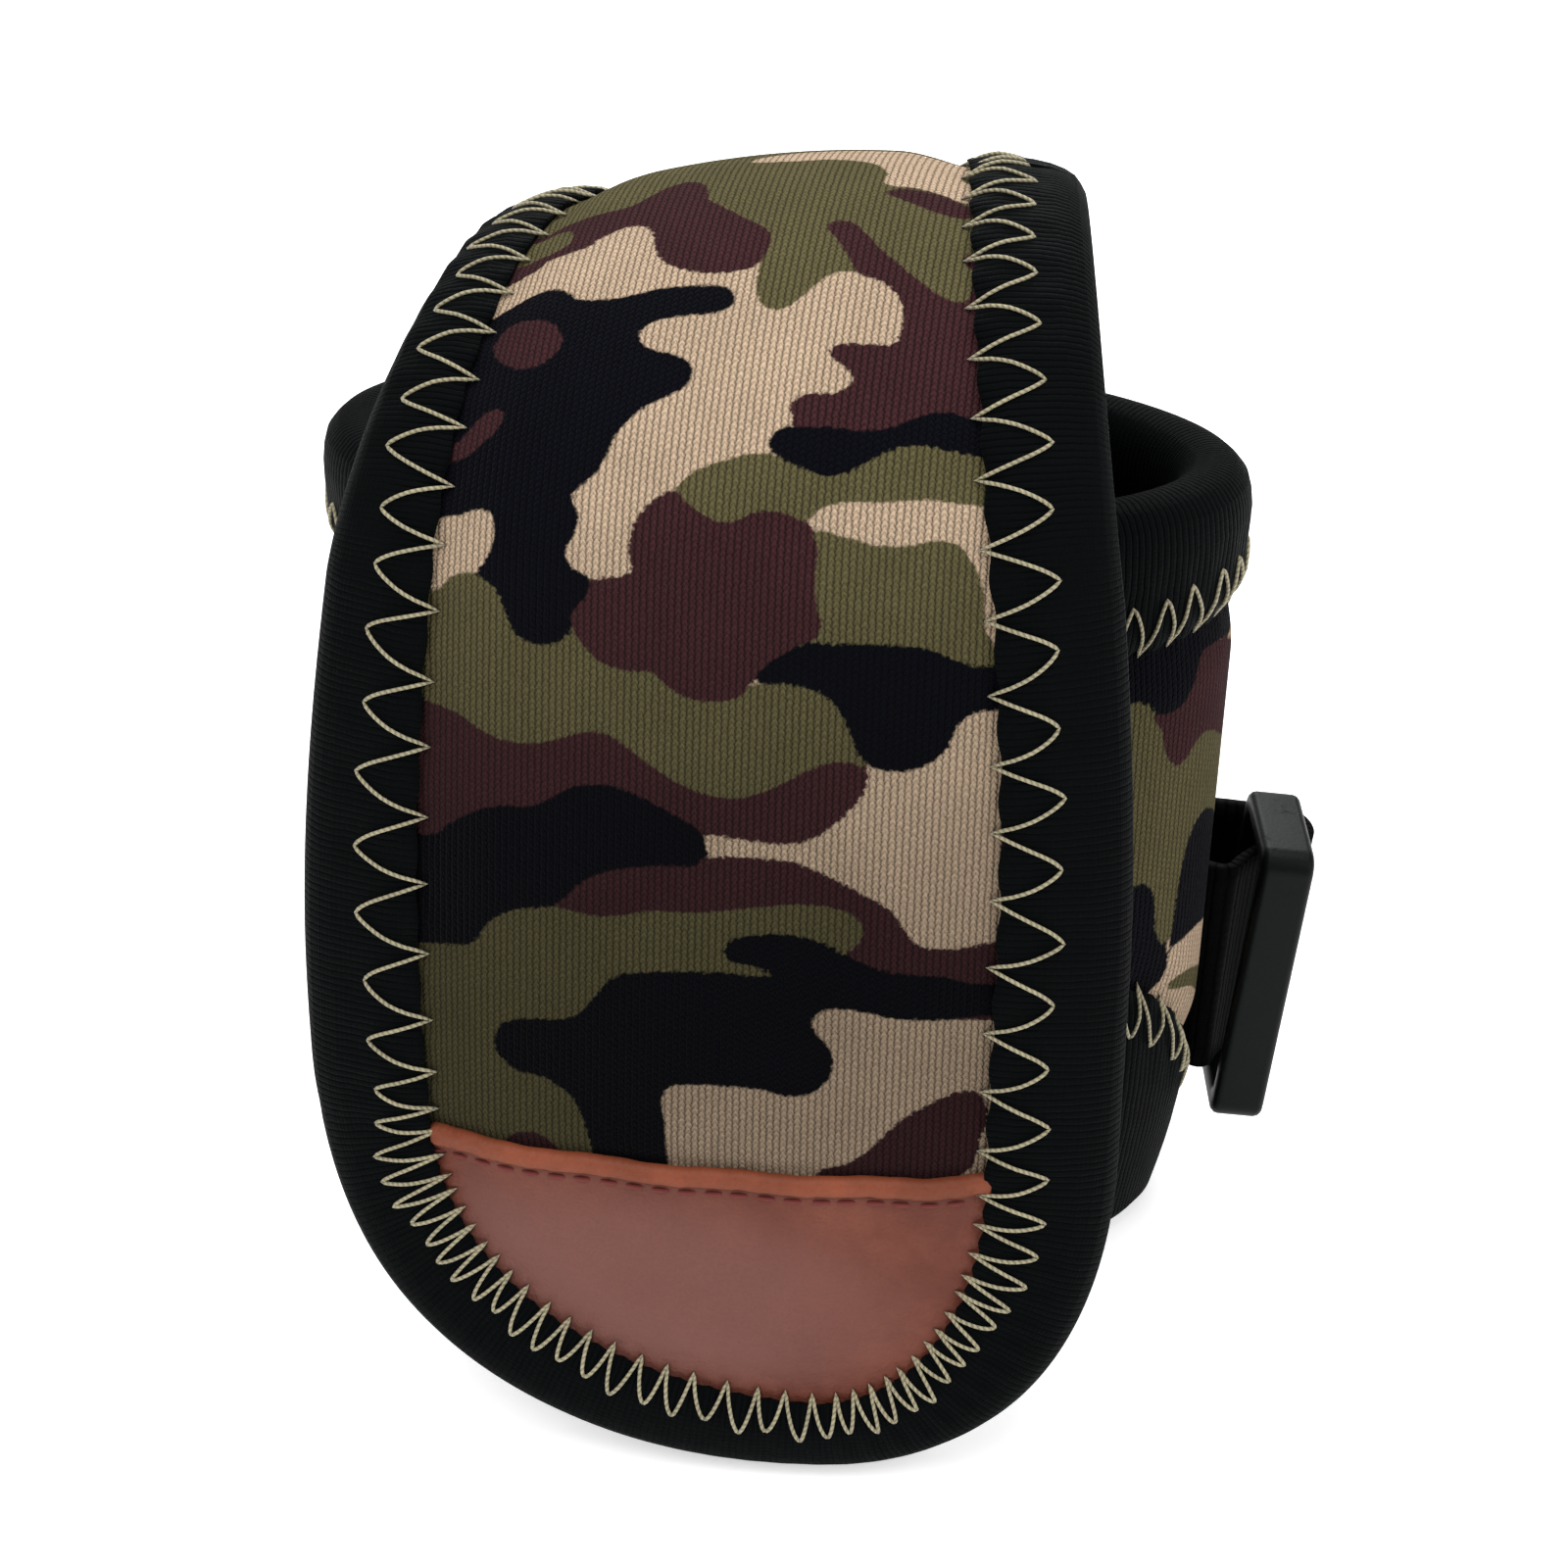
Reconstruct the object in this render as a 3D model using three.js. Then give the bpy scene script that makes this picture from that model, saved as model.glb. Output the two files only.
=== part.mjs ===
// Open-ended padded cuff with a broad wrap-over strap and a side ring on a webbing keeper.
// Millimetres, +Z up. The strap's front face looks towards -Y, and the side ring is at +X.
// Soft pieces are drafted flat, as they are cut, and then bent round the cuff or along the strap.
import * as THREE from 'three';
import { mergeVertices } from 'three/addons/utils/BufferGeometryUtils.js';

// ---- Driving dimensions ----------------------------------------------------------------

// Layers of the padded laminate, given as depths below the outermost face.
const LAYERS = {
  face: [1.0, 1.8],
  foam: [2.1, 4.7],
  lining: [5.0, 5.8],
};
const BINDING_WALL = 0.7;
const BINDING_WIDTH = 12;
const STACK_DEPTH = 6.8;
const FIT_GAP = 0.3;
const PANEL_INSET = BINDING_WALL + FIT_GAP;

// Cuff: an oval tube, slightly narrower at its foot.
const CUFF_HALF_WIDTH = 44.6;
const CUFF_HALF_DEPTH = 22.5;
const CUFF_HEIGHT = 83;
const CUFF_FOOT_TAPER = 0.947;
const CUFF_TURNS = 56;

// Strap: half widths at the front and over the back, and the crown of its cross-section.
const STRAP_HALF_WIDTH = 38;
const STRAP_BACK_HALF_WIDTH = 27;
const STRAP_TAPER_FROM = 50;
const STRAP_TAPER_LENGTH = 113;
const FRONT_CROWN = 6.2;
const BACK_CROWN = 4.2;
const ARCH_TWIST = 3.5;
const TWIST_FADE_FROM = 150;
const TWIST_FADE_LENGTH = 30;

// Strap's centre line as (y, z) points: curled tip, front leg, the arch's two halves, back leg.
const TIP = new THREE.Vector2(-52, 0.6);
const KNEE = new THREE.Vector2(-48.6, 31);
const FRONT_FOLD = new THREE.Vector2(-39, 84);
const CREST = new THREE.Vector2(-2.5, 111);
const BACK_FOLD = new THREE.Vector2(31, 78);
const STRAP_END = new THREE.Vector2(31, 34);

// Rounded tip: its lowest point lies right of centre and its two shoulders differ.
const TIP_OFFSET = 12;
const LEFT_SHOULDER = { height: 37, power: 2.17 };
const RIGHT_SHOULDER = { height: 33, power: 2.06 };
const TIP_BINDING_WIDTH = 9;
const END_CORNER = 17;

const STRAP_COLUMNS = 6;
const SEGMENT_GAP = 0.5;
const LEATHER_TOP = 31.6;
const HEM_HEIGHT = 2.4;
const HEM_THICKNESS = 0.7;
const STITCH_DROP = 1.6;
const THREAD_HEIGHT = 0.4;
const THREAD_WIDTH = 0.9;
const ZIGZAG_PITCH = 6.8;
const ZIGZAG_REACH = 5.6;
const ZIGZAG_BITE = 0.6;

// Side ring and the webbing that holds its rear bar.
const RING_HEIGHT = 32;
const RING_DEPTH = 15;
const RING_THICKNESS = 5.3;
const RING_BAR = 3.4;
const RING_CORNER = 2.2;
const RING_CENTRE = new THREE.Vector3(48.3, 7.2, 25.4);
const RING_YAW = THREE.MathUtils.degToRad(9);
const RING_LEAN = THREE.MathUtils.degToRad(6.5);
const WEBBING_WIDTH = 24;
const WEBBING_THICKNESS = 1.3;
const KEEPER_SEWN_TO = 40;

// ---- Small helpers -----------------------------------------------------------------------

const smooth = (value) => THREE.MathUtils.smoothstep(value, 0, 1);
const lerp = THREE.MathUtils.lerp;

function signedVolume(geometry) {
  const position = geometry.attributes.position;
  const index = geometry.index;
  const [a, b, c] = [new THREE.Vector3(), new THREE.Vector3(), new THREE.Vector3()];
  let volume = 0;
  for (let i = 0; i < index.count; i += 3) {
    a.fromBufferAttribute(position, index.getX(i));
    b.fromBufferAttribute(position, index.getX(i + 1));
    c.fromBufferAttribute(position, index.getX(i + 2));
    volume += a.dot(b.cross(c)) / 6;
  }
  return volume;
}

// Joins shared vertices and turns the faces outwards, so the piece is one closed body.
function closeSolid(geometry) {
  geometry.deleteAttribute('normal');
  geometry.deleteAttribute('uv');
  const solid = mergeVertices(geometry, 1e-4);
  if (signedVolume(solid) < 0) {
    const order = Array.from(solid.index.array);
    for (let i = 0; i < order.length; i += 3) {
      [order[i], order[i + 1]] = [order[i + 1], order[i]];
    }
    solid.setIndex(order);
  }
  solid.computeVertexNormals();
  return solid;
}

// Moves every vertex of a flat draft to its place on the finished object.
function bend(geometry, place) {
  const position = geometry.attributes.position;
  const draft = new THREE.Vector3();
  for (let i = 0; i < position.count; i += 1) {
    draft.fromBufferAttribute(position, i);
    const made = place(draft);
    position.setXYZ(i, made.x, made.y, made.z);
  }
  return closeSolid(geometry);
}

const FINISHES = {
  camo: { color: 0x7d7850, roughness: 0.9, metalness: 0 },
  foam: { color: 0x1c1d1e, roughness: 0.95, metalness: 0 },
  lining: { color: 0x101112, roughness: 0.9, metalness: 0 },
  binding: { color: 0x151718, roughness: 0.85, metalness: 0 },
  thread: { color: 0xbfb48c, roughness: 0.6, metalness: 0 },
  leather: { color: 0xa5695c, roughness: 0.5, metalness: 0 },
  hem: { color: 0xbe6e50, roughness: 0.5, metalness: 0 },
  redThread: { color: 0x6b2420, roughness: 0.6, metalness: 0 },
  grip: { color: 0x18191a, roughness: 0.95, metalness: 0 },
  webbing: { color: 0x121414, roughness: 0.8, metalness: 0 },
  plastic: { color: 0x24292a, roughness: 0.4, metalness: 0 },
};

const model = new THREE.Group();

function addPiece(name, geometry, finish) {
  const mesh = new THREE.Mesh(geometry, new THREE.MeshStandardMaterial(FINISHES[finish]));
  mesh.name = name;
  model.add(mesh);
  return mesh;
}

// ---- Cuff surface ------------------------------------------------------------------------

// A point on the cuff: angle round it, height, and depth below its outer face.
function onCuff(angle, height, depth) {
  const halfWidth = CUFF_HALF_WIDTH * lerp(CUFF_FOOT_TAPER, 1, height / CUFF_HEIGHT);
  const outward = new THREE.Vector2(
    CUFF_HALF_DEPTH * Math.cos(angle),
    halfWidth * Math.sin(angle),
  ).normalize();
  return new THREE.Vector3(
    halfWidth * Math.cos(angle) - depth * outward.x,
    CUFF_HALF_DEPTH * Math.sin(angle) - depth * outward.y,
    height,
  );
}

// A band all round the cuff. Its section is a closed list of [depth, height] corners.
function cuffBand(section) {
  const draftRadius = 20;
  const corners = [...section, section[0]].map(
    ([depth, height]) => new THREE.Vector2(draftRadius - depth, height),
  );
  return bend(new THREE.LatheGeometry(corners, CUFF_TURNS), (draft) => {
    const angle = Math.atan2(draft.x, draft.z);
    return onCuff(angle, draft.y, draftRadius - Math.hypot(draft.x, draft.z));
  });
}

function cuffLayer([outer, inner]) {
  const low = PANEL_INSET;
  const high = CUFF_HEIGHT - PANEL_INSET;
  return cuffBand([[outer, low], [outer, high], [inner, high], [inner, low]]);
}

// Folded tape over an edge: the edge's height and the direction in which the tape opens.
function cuffBinding(edge, direction) {
  const open = edge + direction * BINDING_WIDTH;
  const fold = edge + direction * BINDING_WALL;
  const innerWall = STACK_DEPTH - BINDING_WALL;
  return cuffBand([
    [0, edge], [0, open], [BINDING_WALL, open], [BINDING_WALL, fold],
    [innerWall, fold], [innerWall, open], [STACK_DEPTH, open], [STACK_DEPTH, edge],
  ]);
}

// A patch on the cuff between two angles and two heights.
function cuffPatch(angles, heights, depths, steps) {
  return bend(new THREE.BoxGeometry(1, 1, 1, steps, 1, 1), (draft) => onCuff(
    lerp(angles[0], angles[1], draft.x + 0.5),
    lerp(heights[0], heights[1], draft.y + 0.5),
    lerp(depths[0], depths[1], draft.z + 0.5),
  ));
}

// ---- Zigzag stitching --------------------------------------------------------------------

// Flat outline of a zigzag thread: x runs along the seam and y goes from 0 to 1 across it.
function zigzagOutline(length) {
  const legs = Math.round(length / ZIGZAG_PITCH) * 2;
  const legRun = length / legs;
  const mitre = THREAD_WIDTH / 2 * Math.hypot(legRun, ZIGZAG_REACH) / legRun / ZIGZAG_REACH;
  const outline = (shift) => {
    const corners = [];
    for (let i = 0; i <= legs; i += 1) {
      corners.push(new THREE.Vector2(i * legRun, i % 2 + shift));
    }
    return corners;
  };
  return new THREE.Shape([...outline(-mitre), ...outline(mitre).reverse()]);
}

function zigzag(length, place) {
  const draft = new THREE.ExtrudeGeometry(zigzagOutline(length), {
    depth: THREAD_HEIGHT, bevelEnabled: false,
  });
  return bend(draft, place);
}

function cuffZigzag(edge, direction) {
  const oval = new THREE.EllipseCurve(0, 0, CUFF_HALF_WIDTH, CUFF_HALF_DEPTH);
  const room = THREAD_WIDTH / 2 + FIT_GAP;
  const length = oval.getLength() - 2 * room;
  const outerLine = edge + direction * (BINDING_WIDTH - ZIGZAG_REACH + ZIGZAG_BITE);
  const innerLine = edge + direction * (BINDING_WIDTH + ZIGZAG_BITE);
  return zigzag(length, (draft) => {
    const point = oval.getPointAt((draft.x + room) / oval.getLength());
    const angle = Math.atan2(point.y / CUFF_HALF_DEPTH, point.x / CUFF_HALF_WIDTH);
    return onCuff(angle, lerp(outerLine, innerLine, draft.y), -FIT_GAP - draft.z);
  });
}

// ---- Strap surface -----------------------------------------------------------------------

const curve = (from, pullFrom, pullTo, to) => new THREE.CubicBezierCurve(
  from, new THREE.Vector2(...pullFrom), new THREE.Vector2(...pullTo), to,
);
const frontLeg = [
  curve(TIP, [-55.5, 8], [-50.2, 21], KNEE),
  curve(KNEE, [-47, 46], [-41.8, 70], FRONT_FOLD),
];
const arch = [
  curve(FRONT_FOLD, [-36, 100], [-19, 111], CREST),
  curve(CREST, [14, 111], [31, 97], BACK_FOLD),
];
const centreLine = new THREE.CurvePath();
[...frontLeg, ...arch, new THREE.LineCurve(BACK_FOLD, STRAP_END)].forEach((part) => {
  centreLine.add(part);
});
const lengthOf = (parts) => parts.reduce((sum, part) => sum + part.getLength(), 0);
const FRONT_FOLD_AT = lengthOf(frontLeg);
const BACK_FOLD_AT = FRONT_FOLD_AT + lengthOf(arch);
const STRAP_LENGTH = centreLine.getLength();

function centreAt(along) {
  return centreLine.getPoint(THREE.MathUtils.clamp(along / STRAP_LENGTH, 0, 1));
}

const taperAt = (along) => smooth((along - STRAP_TAPER_FROM) / STRAP_TAPER_LENGTH);
const halfWidthAt = (along) => lerp(STRAP_HALF_WIDTH, STRAP_BACK_HALF_WIDTH, taperAt(along));

function twistAt(along) {
  const fade = 1 - smooth((along - TWIST_FADE_FROM) / TWIST_FADE_LENGTH);
  return ARCH_TWIST * smooth((along - STRAP_TAPER_FROM) / 100) * fade;
}

// A point on the strap's outer face: distance along it from the tip, and across it.
function strapFace(along, across) {
  const step = 0.5;
  const start = THREE.MathUtils.clamp(along, step, STRAP_LENGTH - step);
  const centre = centreAt(along);
  const tangent = centreAt(start + step).sub(centreAt(start - step)).normalize();
  const side = across / halfWidthAt(along);
  const crown = lerp(FRONT_CROWN, BACK_CROWN, taperAt(along)) * side * side;
  return new THREE.Vector3(
    across,
    centre.x + crown * tangent.y,
    centre.y - crown * tangent.x + twistAt(along) * side,
  );
}

// The same point, sunk below the face along the surface's own normal.
function onStrap(along, across, depth) {
  const step = 0.4;
  const start = THREE.MathUtils.clamp(along, step, STRAP_LENGTH - step);
  const up = strapFace(start + step, across).sub(strapFace(start - step, across));
  const right = strapFace(along, across + step).sub(strapFace(along, across - step));
  const inward = up.cross(right).normalize();
  return strapFace(along, across).addScaledVector(inward, depth);
}

// Flat outline of the rounded tip, inset from the cut edge: how far it reaches on one side.
function tipReach(along, inset, side) {
  const shoulder = side < 0 ? LEFT_SHOULDER : RIGHT_SHOULDER;
  if (along >= shoulder.height) {
    return side * (halfWidthAt(along) - inset);
  }
  const reach = STRAP_HALF_WIDTH - side * TIP_OFFSET - inset;
  const rise = (shoulder.height - along) / (shoulder.height - inset);
  const open = Math.max(0, 1 - rise ** shoulder.power) ** (1 / shoulder.power);
  return TIP_OFFSET + side * reach * open;
}

// The strap's hidden end has plain rounded corners.
function endReach(along, inset, side) {
  const full = halfWidthAt(along) - inset;
  const corner = END_CORNER - inset;
  const intoCorner = along - (STRAP_LENGTH - END_CORNER);
  if (intoCorner <= 0) {
    return side * full;
  }
  return side * (full - corner + Math.sqrt(Math.max(0, corner ** 2 - intoCorner ** 2)));
}

// A layer of the strap between two distances along it, as wide as its outline allows.
function strapLayer({ from, to, depths, reach, steps, crowd = 1, inset = PANEL_INSET }) {
  return bend(new THREE.BoxGeometry(1, 1, 1, STRAP_COLUMNS, 1, steps), (draft) => {
    const along = lerp(from, to, (draft.z + 0.5) ** crowd);
    const edges = [reach(along, inset, -1), reach(along, inset, 1)];
    return onStrap(
      along,
      lerp(edges[0], edges[1], draft.x + 0.5),
      lerp(depths[0], depths[1], draft.y + 0.5),
    );
  });
}

// ---- Strap edges -------------------------------------------------------------------------

// An edge is a list of stations {along, across, width}, walked with the strap on its left.
function straightEdge(side, from, to, steps) {
  const stations = [];
  for (let i = 0; i <= steps; i += 1) {
    const along = lerp(from, to, i / steps);
    stations.push({ along, across: side * halfWidthAt(along), width: BINDING_WIDTH });
  }
  return stations;
}

// Quarter of the rounded tip, from its lowest point (0) to where the straight side starts (1).
function shoulderStation(side, turn) {
  const shoulder = side < 0 ? LEFT_SHOULDER : RIGHT_SHOULDER;
  const angle = turn * Math.PI / 2;
  const reach = STRAP_HALF_WIDTH - side * TIP_OFFSET;
  const power = 2 / shoulder.power;
  return {
    along: shoulder.height * (1 - Math.cos(angle) ** power),
    across: TIP_OFFSET + side * reach * Math.sin(angle) ** power,
    width: lerp(TIP_BINDING_WIDTH, BINDING_WIDTH, turn),
  };
}

function tabEdge(top) {
  const turns = 11;
  const left = straightEdge(-1, top, LEFT_SHOULDER.height, 8);
  const right = straightEdge(1, RIGHT_SHOULDER.height, top, 8);
  const tip = [];
  for (let i = 1; i < turns; i += 1) {
    tip.push(shoulderStation(-1, 1 - i / turns));
  }
  for (let i = 0; i < turns; i += 1) {
    tip.push(shoulderStation(1, i / turns));
  }
  return [...left, ...tip, ...right];
}

function anchorEdge(top) {
  const turns = 6;
  const cornerAt = STRAP_LENGTH - END_CORNER;
  const right = straightEdge(1, top, cornerAt, 3);
  const left = straightEdge(-1, cornerAt, top, 3);
  const corner = (side, turn) => ({
    along: cornerAt + END_CORNER * Math.sin(turn * Math.PI / 2),
    across: side * (halfWidthAt(cornerAt) - END_CORNER * (1 - Math.cos(turn * Math.PI / 2))),
    width: BINDING_WIDTH,
  });
  const end = [];
  for (let i = 1; i <= turns; i += 1) {
    end.push(corner(1, i / turns));
  }
  end.push({ ...corner(1, 1), across: 0 });
  for (let i = turns; i >= 1; i -= 1) {
    end.push(corner(-1, i / turns));
  }
  return [...right, ...end, ...left];
}

// Point on the strap reached from an edge: position along the edge in stations, then inwards.
function fromEdge(stations, place, inset) {
  const last = stations.length - 1;
  const index = THREE.MathUtils.clamp(Math.floor(place), 0, last - 1);
  const share = place - index;
  const inwardAt = (i) => {
    const before = stations[Math.max(0, i - 1)];
    const after = stations[Math.min(last, i + 1)];
    return new THREE.Vector2(
      after.across - before.across,
      before.along - after.along,
    ).normalize();
  };
  const [here, next] = [stations[index], stations[index + 1]];
  const inward = inwardAt(index).lerp(inwardAt(index + 1), share).normalize();
  return {
    along: lerp(here.along, next.along, share) + inward.x * inset,
    across: lerp(here.across, next.across, share) + inward.y * inset,
  };
}

const widthAt = (stations, place) => {
  const index = Math.min(stations.length - 2, Math.floor(place));
  return lerp(stations[index].width, stations[index + 1].width, place - index);
};

// Folded tape along an edge: a U section swept from station to station. Past its fold, the
// section's x counts the equal spans into which each leg is divided, so that it can curl.
function strapBinding(stations, spans = 1) {
  const innerWall = STACK_DEPTH - BINDING_WALL;
  const leg = (depth) => Array.from({ length: spans }, (_, i) => [i + 1, depth]);
  const section = new THREE.Shape([
    [0, 0], ...leg(0), ...leg(BINDING_WALL).reverse(), [BINDING_WALL, BINDING_WALL],
    [BINDING_WALL, innerWall], ...leg(innerWall), ...leg(STACK_DEPTH).reverse(), [0, STACK_DEPTH],
  ].map((corner) => new THREE.Vector2(...corner)));
  const steps = stations.length - 1;
  const draftBody = new THREE.ExtrudeGeometry(section, { depth: steps, steps, bevelEnabled: false });
  return bend(draftBody, (draft) => {
    const inset = draft.x >= 1 ? widthAt(stations, draft.z) * draft.x / spans : draft.x;
    const spot = fromEdge(stations, draft.z, inset);
    return onStrap(spot.along, spot.across, draft.y);
  });
}

// Distance walked along an edge at each station, measured on its zigzag line.
function walk(stations) {
  const distances = [0];
  for (let i = 1; i < stations.length; i += 1) {
    const a = fromEdge(stations, i - 1, stations[i - 1].width);
    const b = fromEdge(stations, i, stations[i].width);
    distances.push(distances[i - 1] + Math.hypot(a.along - b.along, a.across - b.across));
  }
  return distances;
}

function strapZigzag(stations) {
  const distances = walk(stations);
  const room = THREAD_WIDTH / 2 + FIT_GAP;
  const length = distances.at(-1) - 2 * room;
  return zigzag(length, (draft) => {
    const distance = draft.x + room;
    const after = Math.max(1, distances.findIndex((value) => value >= distance));
    const span = distances[after] - distances[after - 1];
    const place = after - 1 + (distance - distances[after - 1]) / span;
    const width = widthAt(stations, place);
    const inset = lerp(width - ZIGZAG_REACH, width, draft.y) + ZIGZAG_BITE;
    const spot = fromEdge(stations, place, inset);
    return onStrap(spot.along, spot.across, -FIT_GAP - draft.z);
  });
}

// ---- Cuff pieces -------------------------------------------------------------------------

addPiece('cuff_camo_panel', cuffLayer(LAYERS.face), 'camo');
addPiece('cuff_foam_core', cuffLayer(LAYERS.foam), 'foam');
addPiece('cuff_lining', cuffLayer(LAYERS.lining), 'lining');
addPiece('cuff_top_binding', cuffBinding(CUFF_HEIGHT, -1), 'binding');
addPiece('cuff_bottom_binding', cuffBinding(0, 1), 'binding');
addPiece('cuff_top_zigzag', cuffZigzag(CUFF_HEIGHT, -1), 'thread');
addPiece('cuff_bottom_zigzag', cuffZigzag(0, 1), 'thread');
const FRONT = -Math.PI / 2;
const BACK = Math.PI / 2;
const patchDepths = [0, BINDING_WALL];
addPiece('cuff_loop_patch', cuffPatch([FRONT - 0.45, FRONT + 0.45], [24, 58], patchDepths, 12), 'grip');
const tapeDepths = [STACK_DEPTH - BINDING_WALL, STACK_DEPTH - 0.1];
const tapeHeights = [BINDING_WIDTH + 0.5, CUFF_HEIGHT - BINDING_WIDTH - 0.5];
addPiece('cuff_seam_tape', cuffPatch([BACK - 0.22, BACK + 0.22], tapeHeights, tapeDepths, 8), 'lining');

// ---- Strap pieces ------------------------------------------------------------------------

const half = SEGMENT_GAP / 2;
const tipFrom = PANEL_INSET + 0.4;
const tabTop = FRONT_FOLD_AT - half;
const tab = { reach: tipReach, steps: 18, crowd: 1.5 };
addPiece('tab_foam_core', strapLayer({ ...tab, from: tipFrom, to: tabTop, depths: LAYERS.foam }), 'foam');
addPiece('tab_lining', strapLayer({ ...tab, from: tipFrom, to: tabTop, depths: LAYERS.lining }), 'lining');
const leatherFaceTop = LEATHER_TOP - HEM_HEIGHT / 2;
addPiece('leather_tip', strapLayer({
  ...tab, from: tipFrom, to: leatherFaceTop, depths: LAYERS.face, steps: 11,
}), 'leather');
addPiece('tab_camo_panel', strapLayer({
  reach: tipReach, steps: 9, from: leatherFaceTop + FIT_GAP, to: tabTop, depths: LAYERS.face,
}), 'camo');
const openWidth = BINDING_WIDTH + FIT_GAP + ZIGZAG_BITE + THREAD_WIDTH;
addPiece('leather_hem', strapLayer({
  reach: tipReach, steps: 1, from: LEATHER_TOP - HEM_HEIGHT, to: LEATHER_TOP,
  depths: [0, HEM_THICKNESS], inset: openWidth,
}), 'hem');
const stitchAt = LEATHER_TOP - HEM_HEIGHT - STITCH_DROP;
addPiece('leather_stitch', strapLayer({
  reach: tipReach, steps: 1, from: stitchAt - 0.4, to: stitchAt + 0.4,
  depths: [LAYERS.face[0] - FIT_GAP - THREAD_HEIGHT, LAYERS.face[0] - FIT_GAP], inset: openWidth + 1,
}), 'redThread');
addPiece('tab_hook_patch', strapLayer({
  reach: tipReach, steps: 5, from: 16, to: 38,
  depths: [STACK_DEPTH - BINDING_WALL, STACK_DEPTH], inset: openWidth,
}), 'grip');
const tabEdges = tabEdge(tabTop);
addPiece('tab_binding', strapBinding(tabEdges, 2), 'binding');
addPiece('tab_zigzag', strapZigzag(tabEdges), 'thread');

const bridge = { reach: tipReach, steps: 16, from: FRONT_FOLD_AT + half, to: BACK_FOLD_AT - half };
addPiece('bridge_camo_panel', strapLayer({ ...bridge, depths: LAYERS.face }), 'camo');
addPiece('bridge_foam_core', strapLayer({ ...bridge, depths: LAYERS.foam }), 'foam');
addPiece('bridge_lining', strapLayer({ ...bridge, depths: LAYERS.lining }), 'lining');
const bridgeEdges = {
  left: straightEdge(-1, bridge.to, bridge.from, bridge.steps),
  right: straightEdge(1, bridge.from, bridge.to, bridge.steps),
};
for (const [side, edge] of Object.entries(bridgeEdges)) {
  addPiece(`bridge_binding_${side}`, strapBinding(edge), 'binding');
  addPiece(`bridge_zigzag_${side}`, strapZigzag(edge), 'thread');
}

const anchorTop = BACK_FOLD_AT + half;
const anchor = { reach: endReach, steps: 8, from: STRAP_LENGTH - tipFrom, to: anchorTop, crowd: 1.5 };
addPiece('anchor_camo_panel', strapLayer({ ...anchor, depths: LAYERS.face }), 'camo');
addPiece('anchor_foam_core', strapLayer({ ...anchor, depths: LAYERS.foam }), 'foam');
addPiece('anchor_lining', strapLayer({ ...anchor, depths: LAYERS.lining }), 'lining');
const anchorEdges = anchorEdge(anchorTop);
addPiece('anchor_binding', strapBinding(anchorEdges), 'binding');
addPiece('anchor_zigzag', strapZigzag(anchorEdges), 'thread');
const rowDepths = [LAYERS.face[0] - FIT_GAP - THREAD_HEIGHT, LAYERS.face[0] - FIT_GAP];
for (const [name, drop] of [['upper', 8], ['lower', 14]]) {
  addPiece(`anchor_stitch_${name}`, strapLayer({
    reach: endReach, steps: 1, from: anchorTop + drop, to: anchorTop + drop + THREAD_WIDTH,
    depths: rowDepths, inset: openWidth,
  }), 'thread');
}

// ---- Side ring and its keeper --------------------------------------------------------------

function roundedBox(path, halfWidth, halfHeight, corner) {
  const turn = Math.PI / 2;
  path.absarc(halfWidth - corner, halfHeight - corner, corner, 0, turn);
  path.absarc(corner - halfWidth, halfHeight - corner, corner, turn, 2 * turn);
  path.absarc(corner - halfWidth, corner - halfHeight, corner, 2 * turn, 3 * turn);
  path.absarc(halfWidth - corner, corner - halfHeight, corner, 3 * turn, 4 * turn);
  path.closePath();
  return path;
}

// The ring is drafted standing: x outwards from the cuff, y towards the rear.
function ringBody() {
  const outline = roundedBox(new THREE.Shape(), RING_DEPTH / 2, RING_HEIGHT / 2, RING_CORNER);
  outline.holes.push(roundedBox(
    new THREE.Path(), RING_DEPTH / 2 - RING_BAR, RING_HEIGHT / 2 - RING_BAR, 1,
  ));
  const chamfer = 0.8;
  const body = new THREE.ExtrudeGeometry(outline, {
    depth: RING_THICKNESS - 2 * chamfer, bevelEnabled: true, bevelThickness: chamfer,
    bevelSize: chamfer, bevelOffset: -chamfer, bevelSegments: 1, curveSegments: 3,
  });
  body.translate(0, 0, chamfer - RING_THICKNESS / 2);
  return bend(body, (draft) => new THREE.Vector3(draft.z, draft.x, draft.y));
}

// The webbing lies on the cuff's wall from the rear, turns out through the ring's slot, goes
// round the rear bar and comes back over itself. Its path is seen from above.
function keeperPath() {
  const onWall = (degrees, layer) => {
    const depth = LAYERS.face[0] - FIT_GAP - WEBBING_THICKNESS / 2 - layer;
    const spot = onCuff(THREE.MathUtils.degToRad(degrees), RING_CENTRE.z, depth);
    return new THREE.Vector3(spot.x, spot.y, 0);
  };
  const free = (x, y) => new THREE.Vector3(RING_CENTRE.x + x, RING_CENTRE.y + y, 0);
  const secondLayer = WEBBING_THICKNESS + FIT_GAP;
  return new THREE.CatmullRomCurve3([
    ...[54, 46, 38, 30, 22].map((degrees) => onWall(degrees, 0)),
    free(-5.7, -2.6), free(-3.9, -3.0), free(-2.6, -0.4), free(-0.4, 2.6), free(2.2, 3.2),
    free(3.1, 5.6), free(1.6, 9.0), free(-4, 10.3), free(-10, 10.4),
    ...[45, 51].map((degrees) => onWall(degrees, secondLayer)),
  ], false, 'centripetal');
}

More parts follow.
